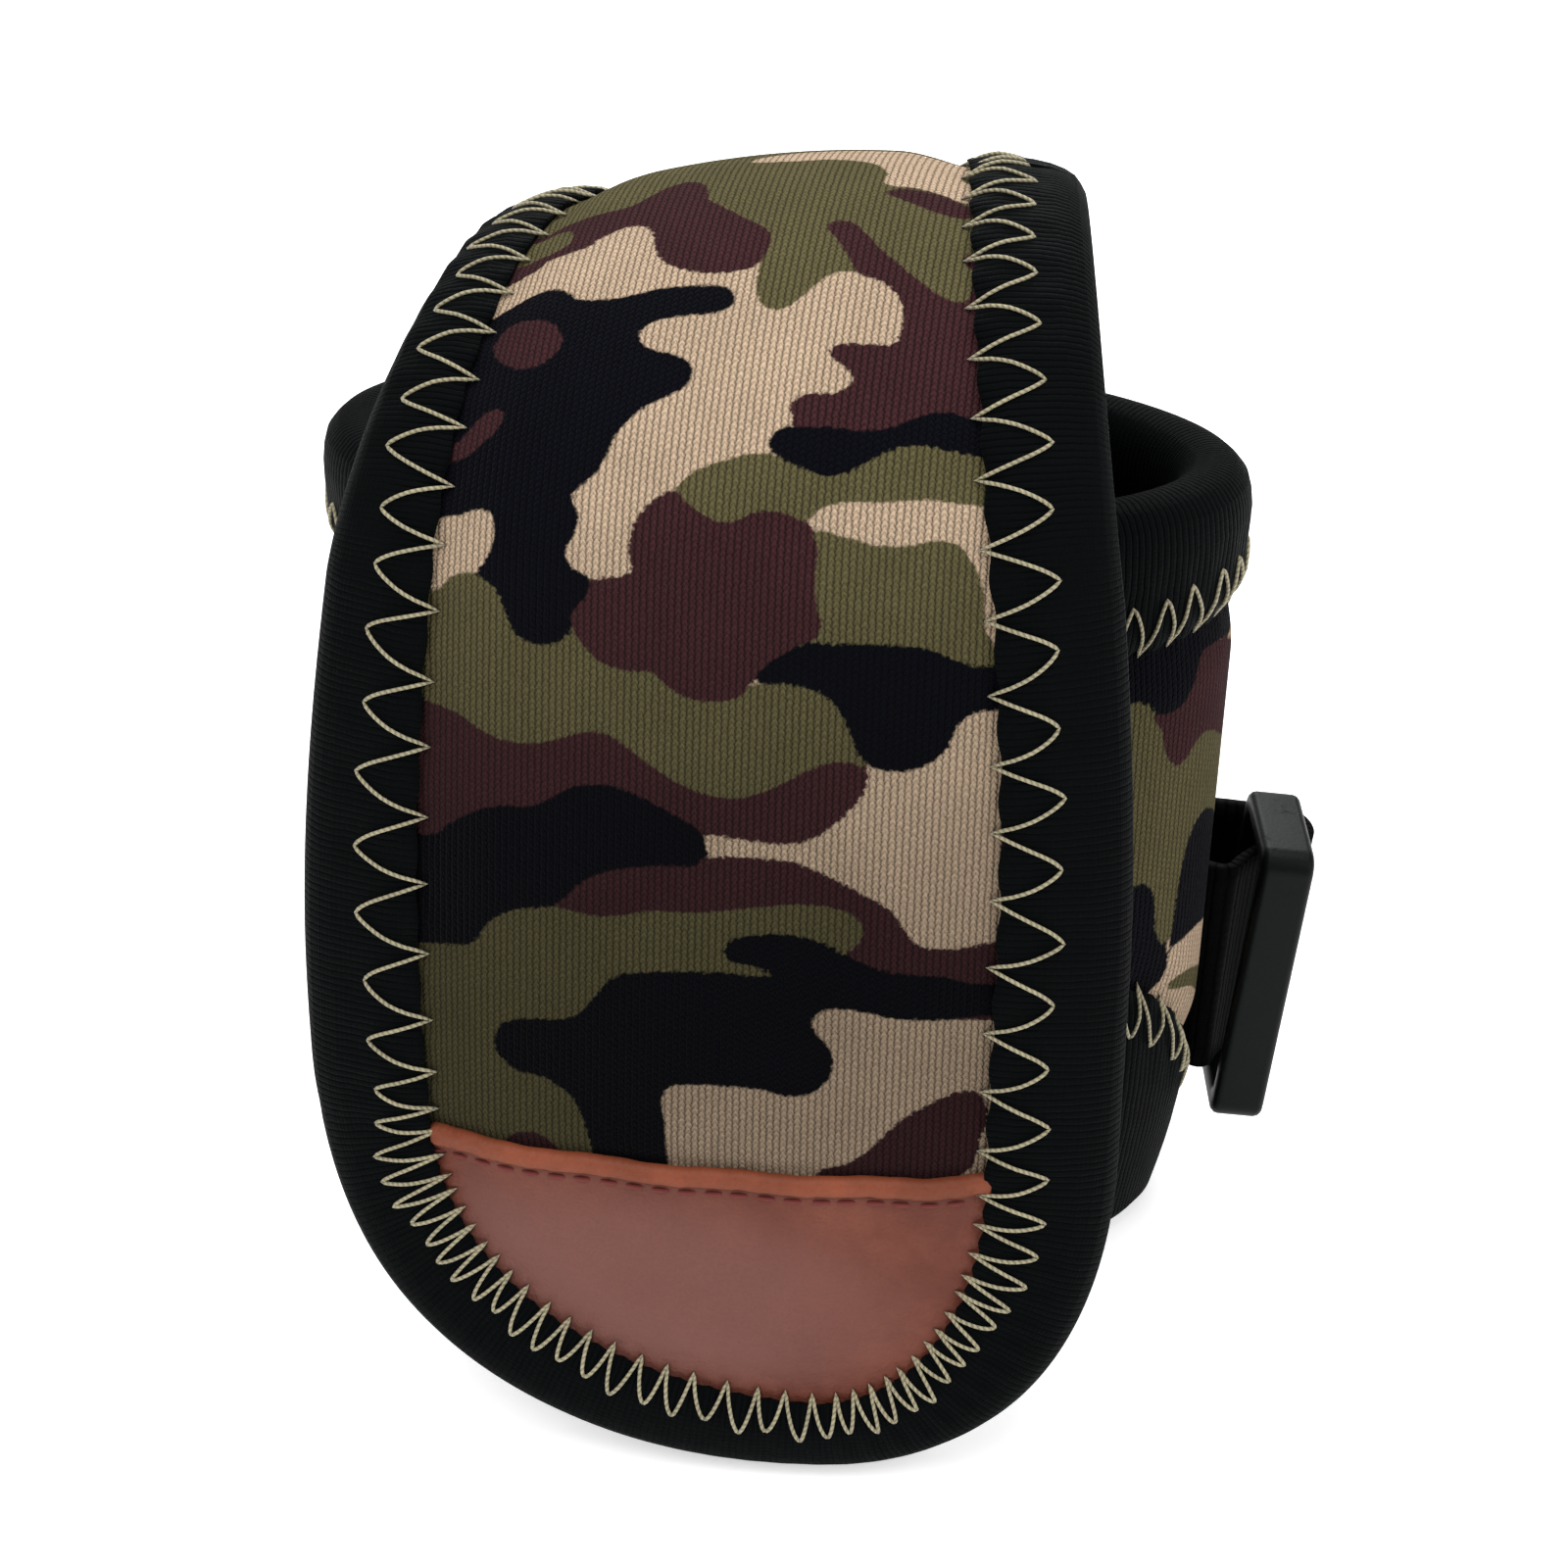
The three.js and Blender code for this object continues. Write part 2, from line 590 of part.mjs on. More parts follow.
function keeperBody() {
  const path = keeperPath();
  const steps = 44;
  const halfThick = WEBBING_THICKNESS / 2;
  const halfWide = WEBBING_WIDTH / 2;
  const section = new THREE.Shape([
    [-halfThick, -halfWide], [halfThick, -halfWide], [halfThick, halfWide], [-halfThick, halfWide],
  ].map((corner) => new THREE.Vector2(...corner)));
  const draftBody = new THREE.ExtrudeGeometry(section, { depth: 1, steps, bevelEnabled: false });
  return bend(draftBody, (draft) => {
    const spot = path.getPointAt(draft.z);
    const tangent = path.getTangentAt(draft.z);
    const loose = smooth((spot.x - KEEPER_SEWN_TO) / (RING_CENTRE.x - KEEPER_SEWN_TO));
    return new THREE.Vector3(
      spot.x + tangent.y * draft.x + Math.tan(RING_LEAN) * draft.y * loose,
      spot.y - tangent.x * draft.x,
      RING_CENTRE.z + draft.y,
    );
  });
}

const ring = addPiece('side_ring', ringBody(), 'plastic');
ring.position.copy(RING_CENTRE);
ring.rotation.set(0, RING_LEAN, RING_YAW, 'ZYX');
addPiece('ring_keeper_webbing', keeperBody(), 'webbing');
const sewnAngles = [47, 49].map(THREE.MathUtils.degToRad);
const sewnHeights = [RING_CENTRE.z - 10, RING_CENTRE.z + 10];
const sewnFace = LAYERS.face[0] - 2 * (FIT_GAP + WEBBING_THICKNESS) - FIT_GAP;
const sewnDepths = [sewnFace - THREAD_HEIGHT, sewnFace];
addPiece('keeper_bartack', cuffPatch(sewnAngles, sewnHeights, sewnDepths, 1), 'thread');

// ---- Origin at the middle of the footprint -------------------------------------------------

const box = new THREE.Box3().setFromObject(model, true);
const middle = box.getCenter(new THREE.Vector3());
model.position.set(-middle.x, -middle.y, -box.min.z);

export default model;
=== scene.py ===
"""Builds the padded camouflage cuff, its wrap-over strap, leather tip and side ring."""

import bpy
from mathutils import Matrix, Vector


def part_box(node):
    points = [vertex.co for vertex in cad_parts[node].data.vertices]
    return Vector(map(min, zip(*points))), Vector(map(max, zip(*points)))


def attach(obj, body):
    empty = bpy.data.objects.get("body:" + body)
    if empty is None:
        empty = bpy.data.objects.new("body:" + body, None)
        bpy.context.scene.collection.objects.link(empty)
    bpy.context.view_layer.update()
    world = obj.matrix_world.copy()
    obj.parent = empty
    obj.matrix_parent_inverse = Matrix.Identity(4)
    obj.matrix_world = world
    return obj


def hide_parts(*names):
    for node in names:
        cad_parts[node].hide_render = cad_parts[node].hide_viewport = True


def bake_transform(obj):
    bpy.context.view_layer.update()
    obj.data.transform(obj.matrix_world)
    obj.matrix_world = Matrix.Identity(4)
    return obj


bl_info = {
    "name": "Padded Cuff with Wrap-Over Strap",
    "version": (1, 0, 0),
    "blender": (4, 5, 0),
    "location": "3D View > Sidebar > Padded Cuff",
    "description": "Builds a padded camouflage cuff, its strap, leather tip and side ring",
    "category": "Add Mesh",
}

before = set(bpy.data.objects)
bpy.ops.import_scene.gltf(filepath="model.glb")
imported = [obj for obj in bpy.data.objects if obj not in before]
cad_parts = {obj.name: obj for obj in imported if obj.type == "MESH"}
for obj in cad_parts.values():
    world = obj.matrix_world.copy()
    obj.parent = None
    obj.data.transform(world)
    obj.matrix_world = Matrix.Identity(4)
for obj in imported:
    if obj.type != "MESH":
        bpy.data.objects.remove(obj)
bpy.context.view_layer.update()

import math
import random

import bmesh
import bpy
import numpy as np
from mathutils import Matrix, Vector

# ---- Drafting sizes, in millimetres -----------------------------------------------------------
# Soft pieces are drafted flat in millimetres, as they are cut, and then bent into place.

MM = 0.001
RIM_LOW, RIM_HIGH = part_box("cuff_top_binding")
CUFF_X = (RIM_LOW[0] + RIM_HIGH[0]) / 2
CUFF_Y = (RIM_LOW[1] + RIM_HIGH[1]) / 2
CUFF_HALF_WIDTH = (RIM_HIGH[0] - RIM_LOW[0]) / 2 / MM
CUFF_HALF_DEPTH = (RIM_HIGH[1] - RIM_LOW[1]) / 2 / MM
CUFF_HEIGHT = RIM_HIGH[2] / MM
CUFF_FOOT_TAPER = 0.947
# The webbing draws the foot in by so much near the ring, over this breadth and height.
FOOT_PULL, FOOT_PULL_AT, FOOT_PULL_SPREAD, FOOT_PULL_HEIGHT = 2.8, 52, 24, 30

STACK_DEPTH = 6.8
FACE_DEPTH = 1.15
FACE_THICKNESS = 0.8
FOAM_DEPTH = 2.1
FOAM_THICKNESS = 2.6
LINING_DEPTH = 5.0
LINING_THICKNESS = 0.8
PANEL_INSET, FOAM_INSET, LINING_INSET = 1.0, 1.4, 1.2
TAPE_THICKNESS = 0.6

STRAP_HALF_WIDTH = 38.0
STRAP_BACK_HALF_WIDTH = 27.0
TAPER_FROM, TAPER_LENGTH = 50.0, 113.0
FRONT_CROWN, BACK_CROWN = 6.2, 4.2
ARCH_TWIST = 3.5
TIP_OFFSET = 12.0
TIP_TAPE_WIDTH = 9.0
SHOULDERS = {-1: (37.0, 2.17), 1: (33.0, 2.06)}
END_CORNER = 17.0
JOIN_AT = 140.0
HEM_LOW, HEM_HIGH, HEM_THICKNESS = 30.2, 32.2, 0.5
LEATHER_SEAM_REACH, LEATHER_SEAM_PITCH, LEATHER_SEAM_DROP = 25.5, 2.45, 0.45

# Centre line of the strap's outer face as (y, z): curled tip, front leg, arch and back leg.
CENTRE_CURVES = (
    ((-52, 0.6), (-55.5, 8), (-50.2, 21), (-48.6, 31)),
    ((-48.6, 31), (-47, 46), (-41.8, 70), (-39, 84)),
    ((-39, 84), (-36, 100), (-19, 111), (-2.5, 111)),
    ((-2.5, 111), (14, 111), (31, 97), (31, 78)),
    ((31, 78), (31, 63), (31, 49), (31, 34)),
)
FRONT_FOLD_CURVES, BACK_FOLD_CURVES = 2, 4
FRONT_BEND_REACH, BACK_BEND_BELOW, BACK_BEND_ABOVE = 11, 9, 13


def smooth(value):
    value = np.clip(value, 0.0, 1.0)
    return value * value * (3.0 - 2.0 * value)


def lerp(a, b, share):
    return a + (b - a) * share


def distances_along(points):
    steps = np.linalg.norm(np.diff(points, axis=0), axis=1)
    return np.concatenate([[0.0], np.cumsum(steps)])


def curve_points(corners, count):
    a, b, c, d = (np.array(corner, float) for corner in corners)
    u = np.linspace(0, 1, count, endpoint=False)[:, None]
    return (1 - u) ** 3 * a + 3 * (1 - u) ** 2 * u * b + 3 * (1 - u) * u * u * c + u**3 * d


CURVE_COUNT = 500
CENTRE_POINTS = np.vstack(
    [curve_points(corners, CURVE_COUNT) for corners in CENTRE_CURVES] + [[CENTRE_CURVES[-1][-1]]]
)
CENTRE_STATIONS = distances_along(CENTRE_POINTS)
STRAP_LENGTH = CENTRE_STATIONS[-1]
FRONT_FOLD_AT = CENTRE_STATIONS[FRONT_FOLD_CURVES * CURVE_COUNT]
BACK_FOLD_AT = CENTRE_STATIONS[BACK_FOLD_CURVES * CURVE_COUNT]


def to_frame(points):
    """Drafting millimetres, measured from the cuff's axis, to metres in the row frame."""
    return np.asarray(points, float) * MM + np.array([CUFF_X, CUFF_Y, 0.0])


# ---- Surfaces that flat pieces are bent onto --------------------------------------------------


def half_width_at(along):
    taper = smooth((along - TAPER_FROM) / TAPER_LENGTH)
    return lerp(STRAP_HALF_WIDTH, STRAP_BACK_HALF_WIDTH, taper)


def strap_face(along, across):
    """Points of the strap's outermost face, at distances from its tip and its middle."""
    station = np.clip(along, 0.5, STRAP_LENGTH - 0.5)
    y = np.interp(along, CENTRE_STATIONS, CENTRE_POINTS[:, 0])
    z = np.interp(along, CENTRE_STATIONS, CENTRE_POINTS[:, 1])
    run = [
        np.interp(station + 0.5, CENTRE_STATIONS, CENTRE_POINTS[:, axis])
        - np.interp(station - 0.5, CENTRE_STATIONS, CENTRE_POINTS[:, axis])
        for axis in (0, 1)
    ]
    length = np.hypot(*run)
    side = across / half_width_at(along)
    taper = smooth((along - TAPER_FROM) / TAPER_LENGTH)
    crown = lerp(FRONT_CROWN, BACK_CROWN, taper) * side * side
    twist = ARCH_TWIST * smooth((along - TAPER_FROM) / 100) * (1 - smooth((along - 150) / 30))
    return np.stack(
        [
            across + 0 * along,
            y + crown * run[1] / length,
            z - crown * run[0] / length + twist * side,
        ],
        axis=-1,
    )


def strap_point(along, across, depth):
    """The same points, sunk below the face along the strap's own inward direction."""
    along, across, depth = np.broadcast_arrays(
        np.asarray(along, float), np.asarray(across, float), np.asarray(depth, float)
    )
    start = np.clip(along, 0.6, STRAP_LENGTH - 0.6)
    up = strap_face(start + 0.6, across) - strap_face(start - 0.6, across)
    right = strap_face(along, across + 0.6) - strap_face(along, across - 0.6)
    inward = np.cross(up, right)
    inward /= np.linalg.norm(inward, axis=-1, keepdims=True)
    return strap_face(along, across) + inward * depth[..., None]


CUFF_ANGLES = np.linspace(-1.5 * math.pi, 1.5 * math.pi, 3001)
CUFF_ROUND = distances_along(
    np.stack(
        [CUFF_HALF_WIDTH * np.cos(CUFF_ANGLES), CUFF_HALF_DEPTH * np.sin(CUFF_ANGLES)], axis=-1
    )
)
CUFF_ROUND -= np.interp(-math.pi / 2, CUFF_ANGLES, CUFF_ROUND)
CUFF_HALF_ROUND = np.interp(math.pi / 2, CUFF_ANGLES, CUFF_ROUND)


def cuff_point(around, height, depth):
    """A point on the cuff: distance round it from the middle of its front, height and depth."""
    angle = np.interp(around, CUFF_ROUND, CUFF_ANGLES)
    by_ring = np.exp(-(((around - FOOT_PULL_AT) / FOOT_PULL_SPREAD) ** 2))
    by_foot = smooth((FOOT_PULL_HEIGHT - height) / FOOT_PULL_HEIGHT) ** 1.5
    depth = depth + FOOT_PULL * by_ring * by_foot
    half_width = CUFF_HALF_WIDTH * lerp(CUFF_FOOT_TAPER, 1.0, height / CUFF_HEIGHT)
    out_x, out_y = CUFF_HALF_DEPTH * np.cos(angle), half_width * np.sin(angle)
    length = np.hypot(out_x, out_y)
    return np.stack(
        [
            half_width * np.cos(angle) - depth * out_x / length,
            CUFF_HALF_DEPTH * np.sin(angle) - depth * out_y / length,
            height + 0 * angle,
        ],
        axis=-1,
    )


def tip_reach(along, inset, side):
    """How far across a layer reaches on one side, inset from the rounded tip's outline."""
    height, power = SHOULDERS[side]
    reach = STRAP_HALF_WIDTH - side * TIP_OFFSET - inset
    rise = np.clip((height - along) / (height - inset), 0.0, 1.0)
    rounded = TIP_OFFSET + side * reach * (1 - rise**power) ** (1 / power)
    return np.where(along >= height, side * (half_width_at(along) - inset), rounded)


def end_reach(along, inset, side):
    """The same at the strap's hidden end, which has plain rounded corners."""
    full = half_width_at(along) - inset
    corner = END_CORNER - inset
    into = np.clip(along - (STRAP_LENGTH - END_CORNER), 0.0, corner)
    return side * (full - corner + np.sqrt(corner**2 - into**2))


# ---- Edges that tape and stitching follow -----------------------------------------------------


class StrapEdge:
    """A cut edge of the strap, walked with the strap on its left."""

    def __init__(self, corners, tape_widths):
        rough = np.array(corners, float)
        walked = distances_along(rough)
        self.length = walked[-1]
        self.walked = np.linspace(0, self.length, int(self.length / 0.5) + 1)
        self.spots = np.stack([np.interp(self.walked, walked, rough[:, i]) for i in (0, 1)], -1)
        self.tape_widths = np.interp(self.walked, walked, tape_widths)
        run = np.gradient(self.spots, axis=0)
        kernel = np.ones(9) / 9
        padded = np.pad(run, ((4, 4), (0, 0)), mode="edge")
        run = np.stack([np.convolve(padded[:, i], kernel, mode="valid") for i in (0, 1)], -1)
        run /= np.linalg.norm(run, axis=1, keepdims=True)
        self.inward = np.stack([run[:, 1], -run[:, 0]], axis=-1)

    def spot(self, distance, inset):
        """Distances along and across the strap of a point inside this edge."""
        return tuple(
            np.interp(distance, self.walked, self.spots[:, i])
            + inset * np.interp(distance, self.walked, self.inward[:, i])
            for i in (0, 1)
        )

    def tape_width(self, distance):
        return np.interp(distance, self.walked, self.tape_widths)

    def stitch_share(self, distance):
        """Stitches reach less far across the tape where it is eased round the tip."""
        along, _ = self.spot(distance, 0.0)
        return 1 - 0.38 * smooth((26 - along) / 18)

    def overhang(self, distance):
        """How far the tape's fold stands out past the cut edge, most on the left."""
        along, across = self.spot(distance, 0.0)
        return 0.35 + 1.15 * smooth((-across - 10) / 20) * smooth((along - 20) / 30)

    def point(self, distance, inset, depth):
        along, across = self.spot(distance, inset)
        return strap_point(along, across, depth)

    def nearest(self, along, across):
        """Distance to this edge and how far along it that is, for many points."""
        flat_along, flat_across = np.ravel(along), np.ravel(across)
        found = np.empty(flat_along.size)
        place = np.empty(flat_along.size)
        for first in range(0, flat_along.size, 4000):
            chunk = slice(first, first + 4000)
            gap = np.hypot(
                flat_along[chunk, None] - self.spots[None, :, 0],
                flat_across[chunk, None] - self.spots[None, :, 1],
            )
            best = gap.argmin(axis=1)
            found[chunk] = gap[np.arange(best.size), best]
            place[chunk] = self.walked[best]
        return found.reshape(np.shape(along)), place.reshape(np.shape(along))


# How much narrower the tape lies on each side of the strap, as (station, millimetres).
LEFT_NARROWING = ((34, 0), (45, 0.7), (60, 1.2), (75, 1.8), (85, 2.2), (100, 3.2), (110, 4.0),
                  (125, 4.4), (140, 4.0), (165, 0))
RIGHT_NARROWING = ((50, 0), (85, 0.8), (105, 1.0), (140, 1.0), (165, 0))


def tape_width_at(station, side, full):
    stations, narrowing = zip(*(LEFT_NARROWING if side < 0 else RIGHT_NARROWING))
    return full - np.interp(station, stations, narrowing)


def front_edge(tape_width):
    """Left side from the crest down, round the tip, and up the right side."""
    corners, widths = [], []
    for station in np.linspace(JOIN_AT, SHOULDERS[-1][0], 120, endpoint=False):
        corners.append((station, -half_width_at(station)))
        widths.append(tape_width_at(station, -1, tape_width))
    for side, turns in ((-1, np.linspace(1, 0, 60, endpoint=False)), (1, np.linspace(0, 1, 60))):
        height, power = SHOULDERS[side]
        reach = STRAP_HALF_WIDTH - side * TIP_OFFSET
        for turn in turns:
            angle = turn * math.pi / 2
            along = height * (1 - max(0.0, math.cos(angle)) ** (2 / power))
            corners.append((along, TIP_OFFSET + side * reach * math.sin(angle) ** (2 / power)))
            widths.append(lerp(TIP_TAPE_WIDTH, tape_width, turn))
    for station in np.linspace(SHOULDERS[1][0] + 1, JOIN_AT, 120):
        corners.append((station, half_width_at(station)))
        widths.append(tape_width_at(station, 1, tape_width))
    return StrapEdge(corners, widths)


def back_edge(tape_width):
    """Right side from the crest down the back, round the end, and up the left side."""
    corner_at = STRAP_LENGTH - END_CORNER
    right = [(s, half_width_at(s)) for s in np.linspace(JOIN_AT, corner_at, 90)]
    for turn in np.linspace(0.03, 1, 30):
        angle = turn * math.pi / 2
        across = half_width_at(corner_at) - END_CORNER * (1 - math.cos(angle))
        right.append((corner_at + END_CORNER * math.sin(angle), across))
    corners = right + [(along, -across) for along, across in reversed(right)]
    widths = [tape_width_at(along, across, tape_width) for along, across in corners]
    return StrapEdge(corners, widths)


class CuffEdge:
    """The cuff's upper or lower rim. It answers the same questions as a strap's edge."""

    def __init__(self, height, direction, tape_width, drop=0.0):
        self.height = height
        self.direction = direction
        self.width = tape_width
        self.drop = drop
        self.length = 2 * CUFF_HALF_ROUND

    def tape_width(self, distance):
        around = distance - CUFF_HALF_ROUND
        if self.direction < 0:
            return self.width + 1.6 * np.exp(-(((around - 36) / 12) ** 2))
        return self.width + self.drop * smooth((64 - np.abs(around)) / 26)

    def stitch_share(self, distance):
        return 1 + 0 * distance

    def overhang(self, distance):
        """How far the tape's fold stands out past the cut edge, at the rim only."""
        return 0.9 + 0 * distance if self.direction < 0 else 0 * distance

    def point(self, distance, inset, depth):
        around = distance - CUFF_HALF_ROUND
        return cuff_point(around, self.height + self.direction * inset, depth)


# ---- Meshes -----------------------------------------------------------------------------------


def draft_grid(columns, rows):
    """A flat grid of quads whose vertices run from 0 to 1 both ways."""
    bm = bmesh.new()
    bmesh.ops.create_grid(bm, x_segments=columns, y_segments=rows, size=0.5)
    bmesh.ops.translate(bm, verts=bm.verts, vec=(0.5, 0.5, 0.0))
    return bm


def finish_mesh(bm, name, place, chart, facing=1, closed=False, fields=None):
    """Bends a draft into place, charts it in fabric millimetres and makes it an object."""
    mesh = bpy.data.meshes.new(name)
    bm.to_mesh(mesh)
    bm.free()
    draft = np.empty(len(mesh.vertices) * 3)
    mesh.vertices.foreach_get("co", draft)
    draft = draft.reshape(-1, 3)
    u, v = np.clip(draft[:, 0], 0, 1), np.clip(draft[:, 1], 0, 1)
    mesh.vertices.foreach_set("co", to_frame(place(u, v)).ravel())
    corner_of = np.empty(len(mesh.loops), int)
    mesh.loops.foreach_get("vertex_index", corner_of)
    chart_u, chart_v = chart(u, v)
    layer = mesh.uv_layers.new(name="fabric")
    layer.data.foreach_set("uv", np.stack([chart_u, chart_v], -1)[corner_of].ravel())
    for field_name, values in (fields(u, v) if fields else {}).items():
        attribute = mesh.attributes.new(field_name, "FLOAT", "POINT")
        attribute.data.foreach_set("value", values)
    bm = bmesh.new()
    bm.from_mesh(mesh)
    if closed:
        bmesh.ops.remove_doubles(bm, verts=bm.verts, dist=2e-6)
        bmesh.ops.dissolve_degenerate(bm, edges=bm.edges, dist=1e-7)
        bmesh.ops.recalc_face_normals(bm, faces=bm.faces)
    elif facing < 0:
        bmesh.ops.reverse_faces(bm, faces=bm.faces)
    for face in bm.faces:
        face.smooth = True
    bm.to_mesh(mesh)
    bm.free()
    piece = bpy.data.objects.new(name, mesh)
    bpy.context.scene.collection.objects.link(piece)
    return piece


def thicken(piece, thickness, offset=-1.0):
    wall = piece.modifiers.new("thickness", "SOLIDIFY")
    wall.thickness = thickness * MM
    wall.offset = offset
    wall.use_even_offset = False
    return piece


def bent_layer(name, spans, spread, chart, point, depth, facing, fields):
    """A layer whose draft is spread over a surface, sunk by a number or by a function."""

    def place(u, v):
        spot = spread(u, v)
        return point(*spot, depth(*spot) if callable(depth) else depth)

    def painted(u, v):
        return fields(np.stack(chart(u, v), -1))

    bm = draft_grid(*spans)
    return finish_mesh(bm, name, place, chart, facing, fields=painted if fields else None)


def strap_layer(name, reach, stations, spans, depth, facing=1, inset=PANEL_INSET, fields=None):
    """A layer of the strap between two stations, as wide as its outline allows."""

    def spread(u, v):
        along = lerp(*stations, v)
        return along, lerp(reach(along, inset, -1), reach(along, inset, 1), u)

    def chart(u, v):
        return spread(u, v)[::-1]

    return bent_layer(name, spans, spread, chart, strap_point, depth, facing, fields)


def cuff_layer(name, heights, spans, depth, facing=1, arounds=None, fields=None):
    """A layer of the cuff between two heights, all round it unless arounds says less."""

    def spread(u, v):
        return lerp(*(arounds or (-CUFF_HALF_ROUND, CUFF_HALF_ROUND)), u), lerp(*heights, v)

    piece = bent_layer(name, spans, spread, spread, cuff_point, depth, facing, fields)
    if arounds is None:
        weld(piece)
    return piece


def weld(piece):
    """Joins the two ends of a layer that goes all round."""
    bm = bmesh.new()
    bm.from_mesh(piece.data)
    bmesh.ops.remove_doubles(bm, verts=bm.verts, dist=2e-6)
    bm.to_mesh(piece.data)
    bm.free()


def tape_section(width, bulge):
    """Half rounds of a folded tape as (inset, depth) corners, from one open edge to the other."""
    outer = [
        (width + 0 * bulge, 0.5),
        (width - 0.7, 0.12),
        (width * 0.78, -0.1 - bulge * 0.5),
        (width * 0.5, -bulge),
        (width * 0.28, -bulge * 0.8),
        (1.5, 0.25),
        (0.45, 1.3),
        (0.08, 2.4),
        (0.0, STACK_DEPTH / 2),
    ]
    return outer + [(inset, STACK_DEPTH - depth) for inset, depth in reversed(outer[:-1])]


def folded_tape(name, edge, stitch, bulge, closed, facing=-1, spans=(2, 26)):
    """Ribbed tape folded over an edge, pressed down where the stitches cross it."""
    columns = int(edge.length * spans[0])
    share = np.linspace(0, 1, 17)

    def place(u, v):
        distance = u * edge.length
        width = edge.tape_width(distance)
        narrow = np.array(tape_section(10.0, bulge))
        wide = np.array(tape_section(40.0, bulge))
        blend = (width - 10.0) / 30.0
        inset = lerp(np.interp(v, share, narrow[:, 0]), np.interp(v, share, wide[:, 0]), blend)
        depth = lerp(np.interp(v, share, narrow[:, 1]), np.interp(v, share, wide[:, 1]), blend)
        press = stitch.press(distance, inset, width)
        depth = depth + press * np.where(v < 0.5, 1, -1)
        nip = 0.35 * np.cos(2 * math.pi * stitch.phase(distance)) * smooth((inset - width + 2) / 2)
        out = edge.overhang(distance) * (1 - np.clip(inset / width, 0, 1))
        return edge.point(distance, inset - nip * 0.6 - out, depth)

    def chart(u, v):
        distance = u * edge.length
        return distance, (v - 0.5) * 2 * (edge.tape_width(distance) + 3)

    bm = draft_grid(columns, spans[1])
    piece = finish_mesh(bm, name, place, chart, facing)
    if closed:
        weld(piece)
    return thicken(piece, TAPE_THICKNESS)


class Zigzag:
    """A zigzag seam along an edge, whose pitch may change on the way."""

    REACH, BITE = 5.4, 0.7

    def __init__(self, edge, pitches, bulge):
        self.edge = edge
        places, values = zip(*pitches)
        self.walked = np.linspace(0, edge.length, int(edge.length * 4) + 1)
        pitch = np.interp(self.walked, places, values)
        turned = np.concatenate([[0], np.cumsum(np.diff(self.walked) / pitch[1:])])
        self.count = round(turned[-1] * 2) / 2
        self.turned = turned * self.count / turned[-1]
        self.bulge = bulge

    def phase(self, distance):
        """0 where a stitch bites the panel, and a half where it turns on the tape."""
        return np.interp(distance, self.walked, self.turned)

    def press(self, distance, inset, width):
        wave = np.cos(2 * math.pi * self.phase(distance))
        inner = np.exp(-(((inset - width + 0.2) / 1.3) ** 2)) * (0.5 + 0.5 * wave)
        outer = np.exp(-(((inset - width + 5.2) / 1.5) ** 2)) * (0.5 - 0.5 * wave)
        return 0.34 * inner + 0.26 * outer

    def path(self, rng, samples=18):
        """Centre line of the thread and the outward direction along it."""
        turned = np.arange(0, self.count + 1e-6, 1 / samples)
        halves = np.arange(0, self.count + 1, 0.5)
        sway, slack = ([rng.uniform(-size, size) for _ in halves] for size in (0.38, 0.5))
        distance = np.interp(turned, self.turned, self.walked)
        distance = distance + np.interp(turned, halves, sway)
        distance = np.clip(distance, 0.3, self.edge.length - 0.3)
        width = self.edge.tape_width(distance)
        share = turned % 1.0
        away = 0.6 * np.sin(math.pi * share) + 0.4 * (1 - np.abs(1 - 2 * share))
        reach = self.REACH * self.edge.stitch_share(distance) + np.interp(turned, halves, slack)
        inset = width + self.BITE - (reach + self.BITE) * away
        section = np.array(tape_section(12.0, self.bulge))[:9][::-1]
        lying = np.interp(12.0 - (width - inset), section[:, 0], section[:, 1])
        lying = np.where(inset > width, 0.75, lying)
        bitten = 0.5 * (1 - away) ** 6 + 0.25 * smooth((away - 0.93) / 0.07)
        depth = lying + self.press(distance, inset, width) * 0.8 - 0.14 + bitten
        point = self.edge.point(distance, inset, depth)
        return point, self.edge.point(distance, inset, depth - 0.5) - point


def tubes(name, paths, radius, sides=7):
    """Round threads along centre lines, each closed to a point at both ends."""
    counts = [len(points) for points, _ in paths]
    centre = np.vstack([points for points, _ in paths])
    out = np.vstack([outs for _, outs in paths])
    out /= np.linalg.norm(out, axis=1, keepdims=True)
    run = np.vstack([np.gradient(points, axis=0) for points, _ in paths])
    run /= np.linalg.norm(run, axis=1, keepdims=True)
    across = np.cross(run, out)
    across /= np.linalg.norm(across, axis=1, keepdims=True)
    up = np.cross(across, run)
    walked = np.concatenate([distances_along(points) for points, _ in paths])
    radii = np.concatenate([radius * round_ends(points) for points, _ in paths])
    total = len(centre)
    bm = draft_grid(total - 1, sides)
    starts = np.cumsum(counts)[:-1]
    gaps = {int(start) for start in starts}
    if gaps:
        between = [
            face for face in bm.faces
            if math.ceil(face.calc_center_median().x * (total - 1)) in gaps
        ]
        bmesh.ops.delete(bm, geom=between, context="FACES")

    def place(u, v):
        index = np.rint(u * (total - 1)).astype(int)
        angle = 2 * math.pi * v
        ring = across[index] * np.cos(angle)[:, None] + up[index] * np.sin(angle)[:, None]
        return centre[index] + ring * radii[index][:, None]

    def chart(u, v):
        index = np.rint(u * (total - 1)).astype(int)
        return walked[index], v

    return finish_mesh(bm, name, place, chart, closed=True)


def round_ends(points):
    """1 along a thread and 0 at its two ends."""
    share = np.ones(len(points))
    share[0] = share[-1] = 0.0
    return share


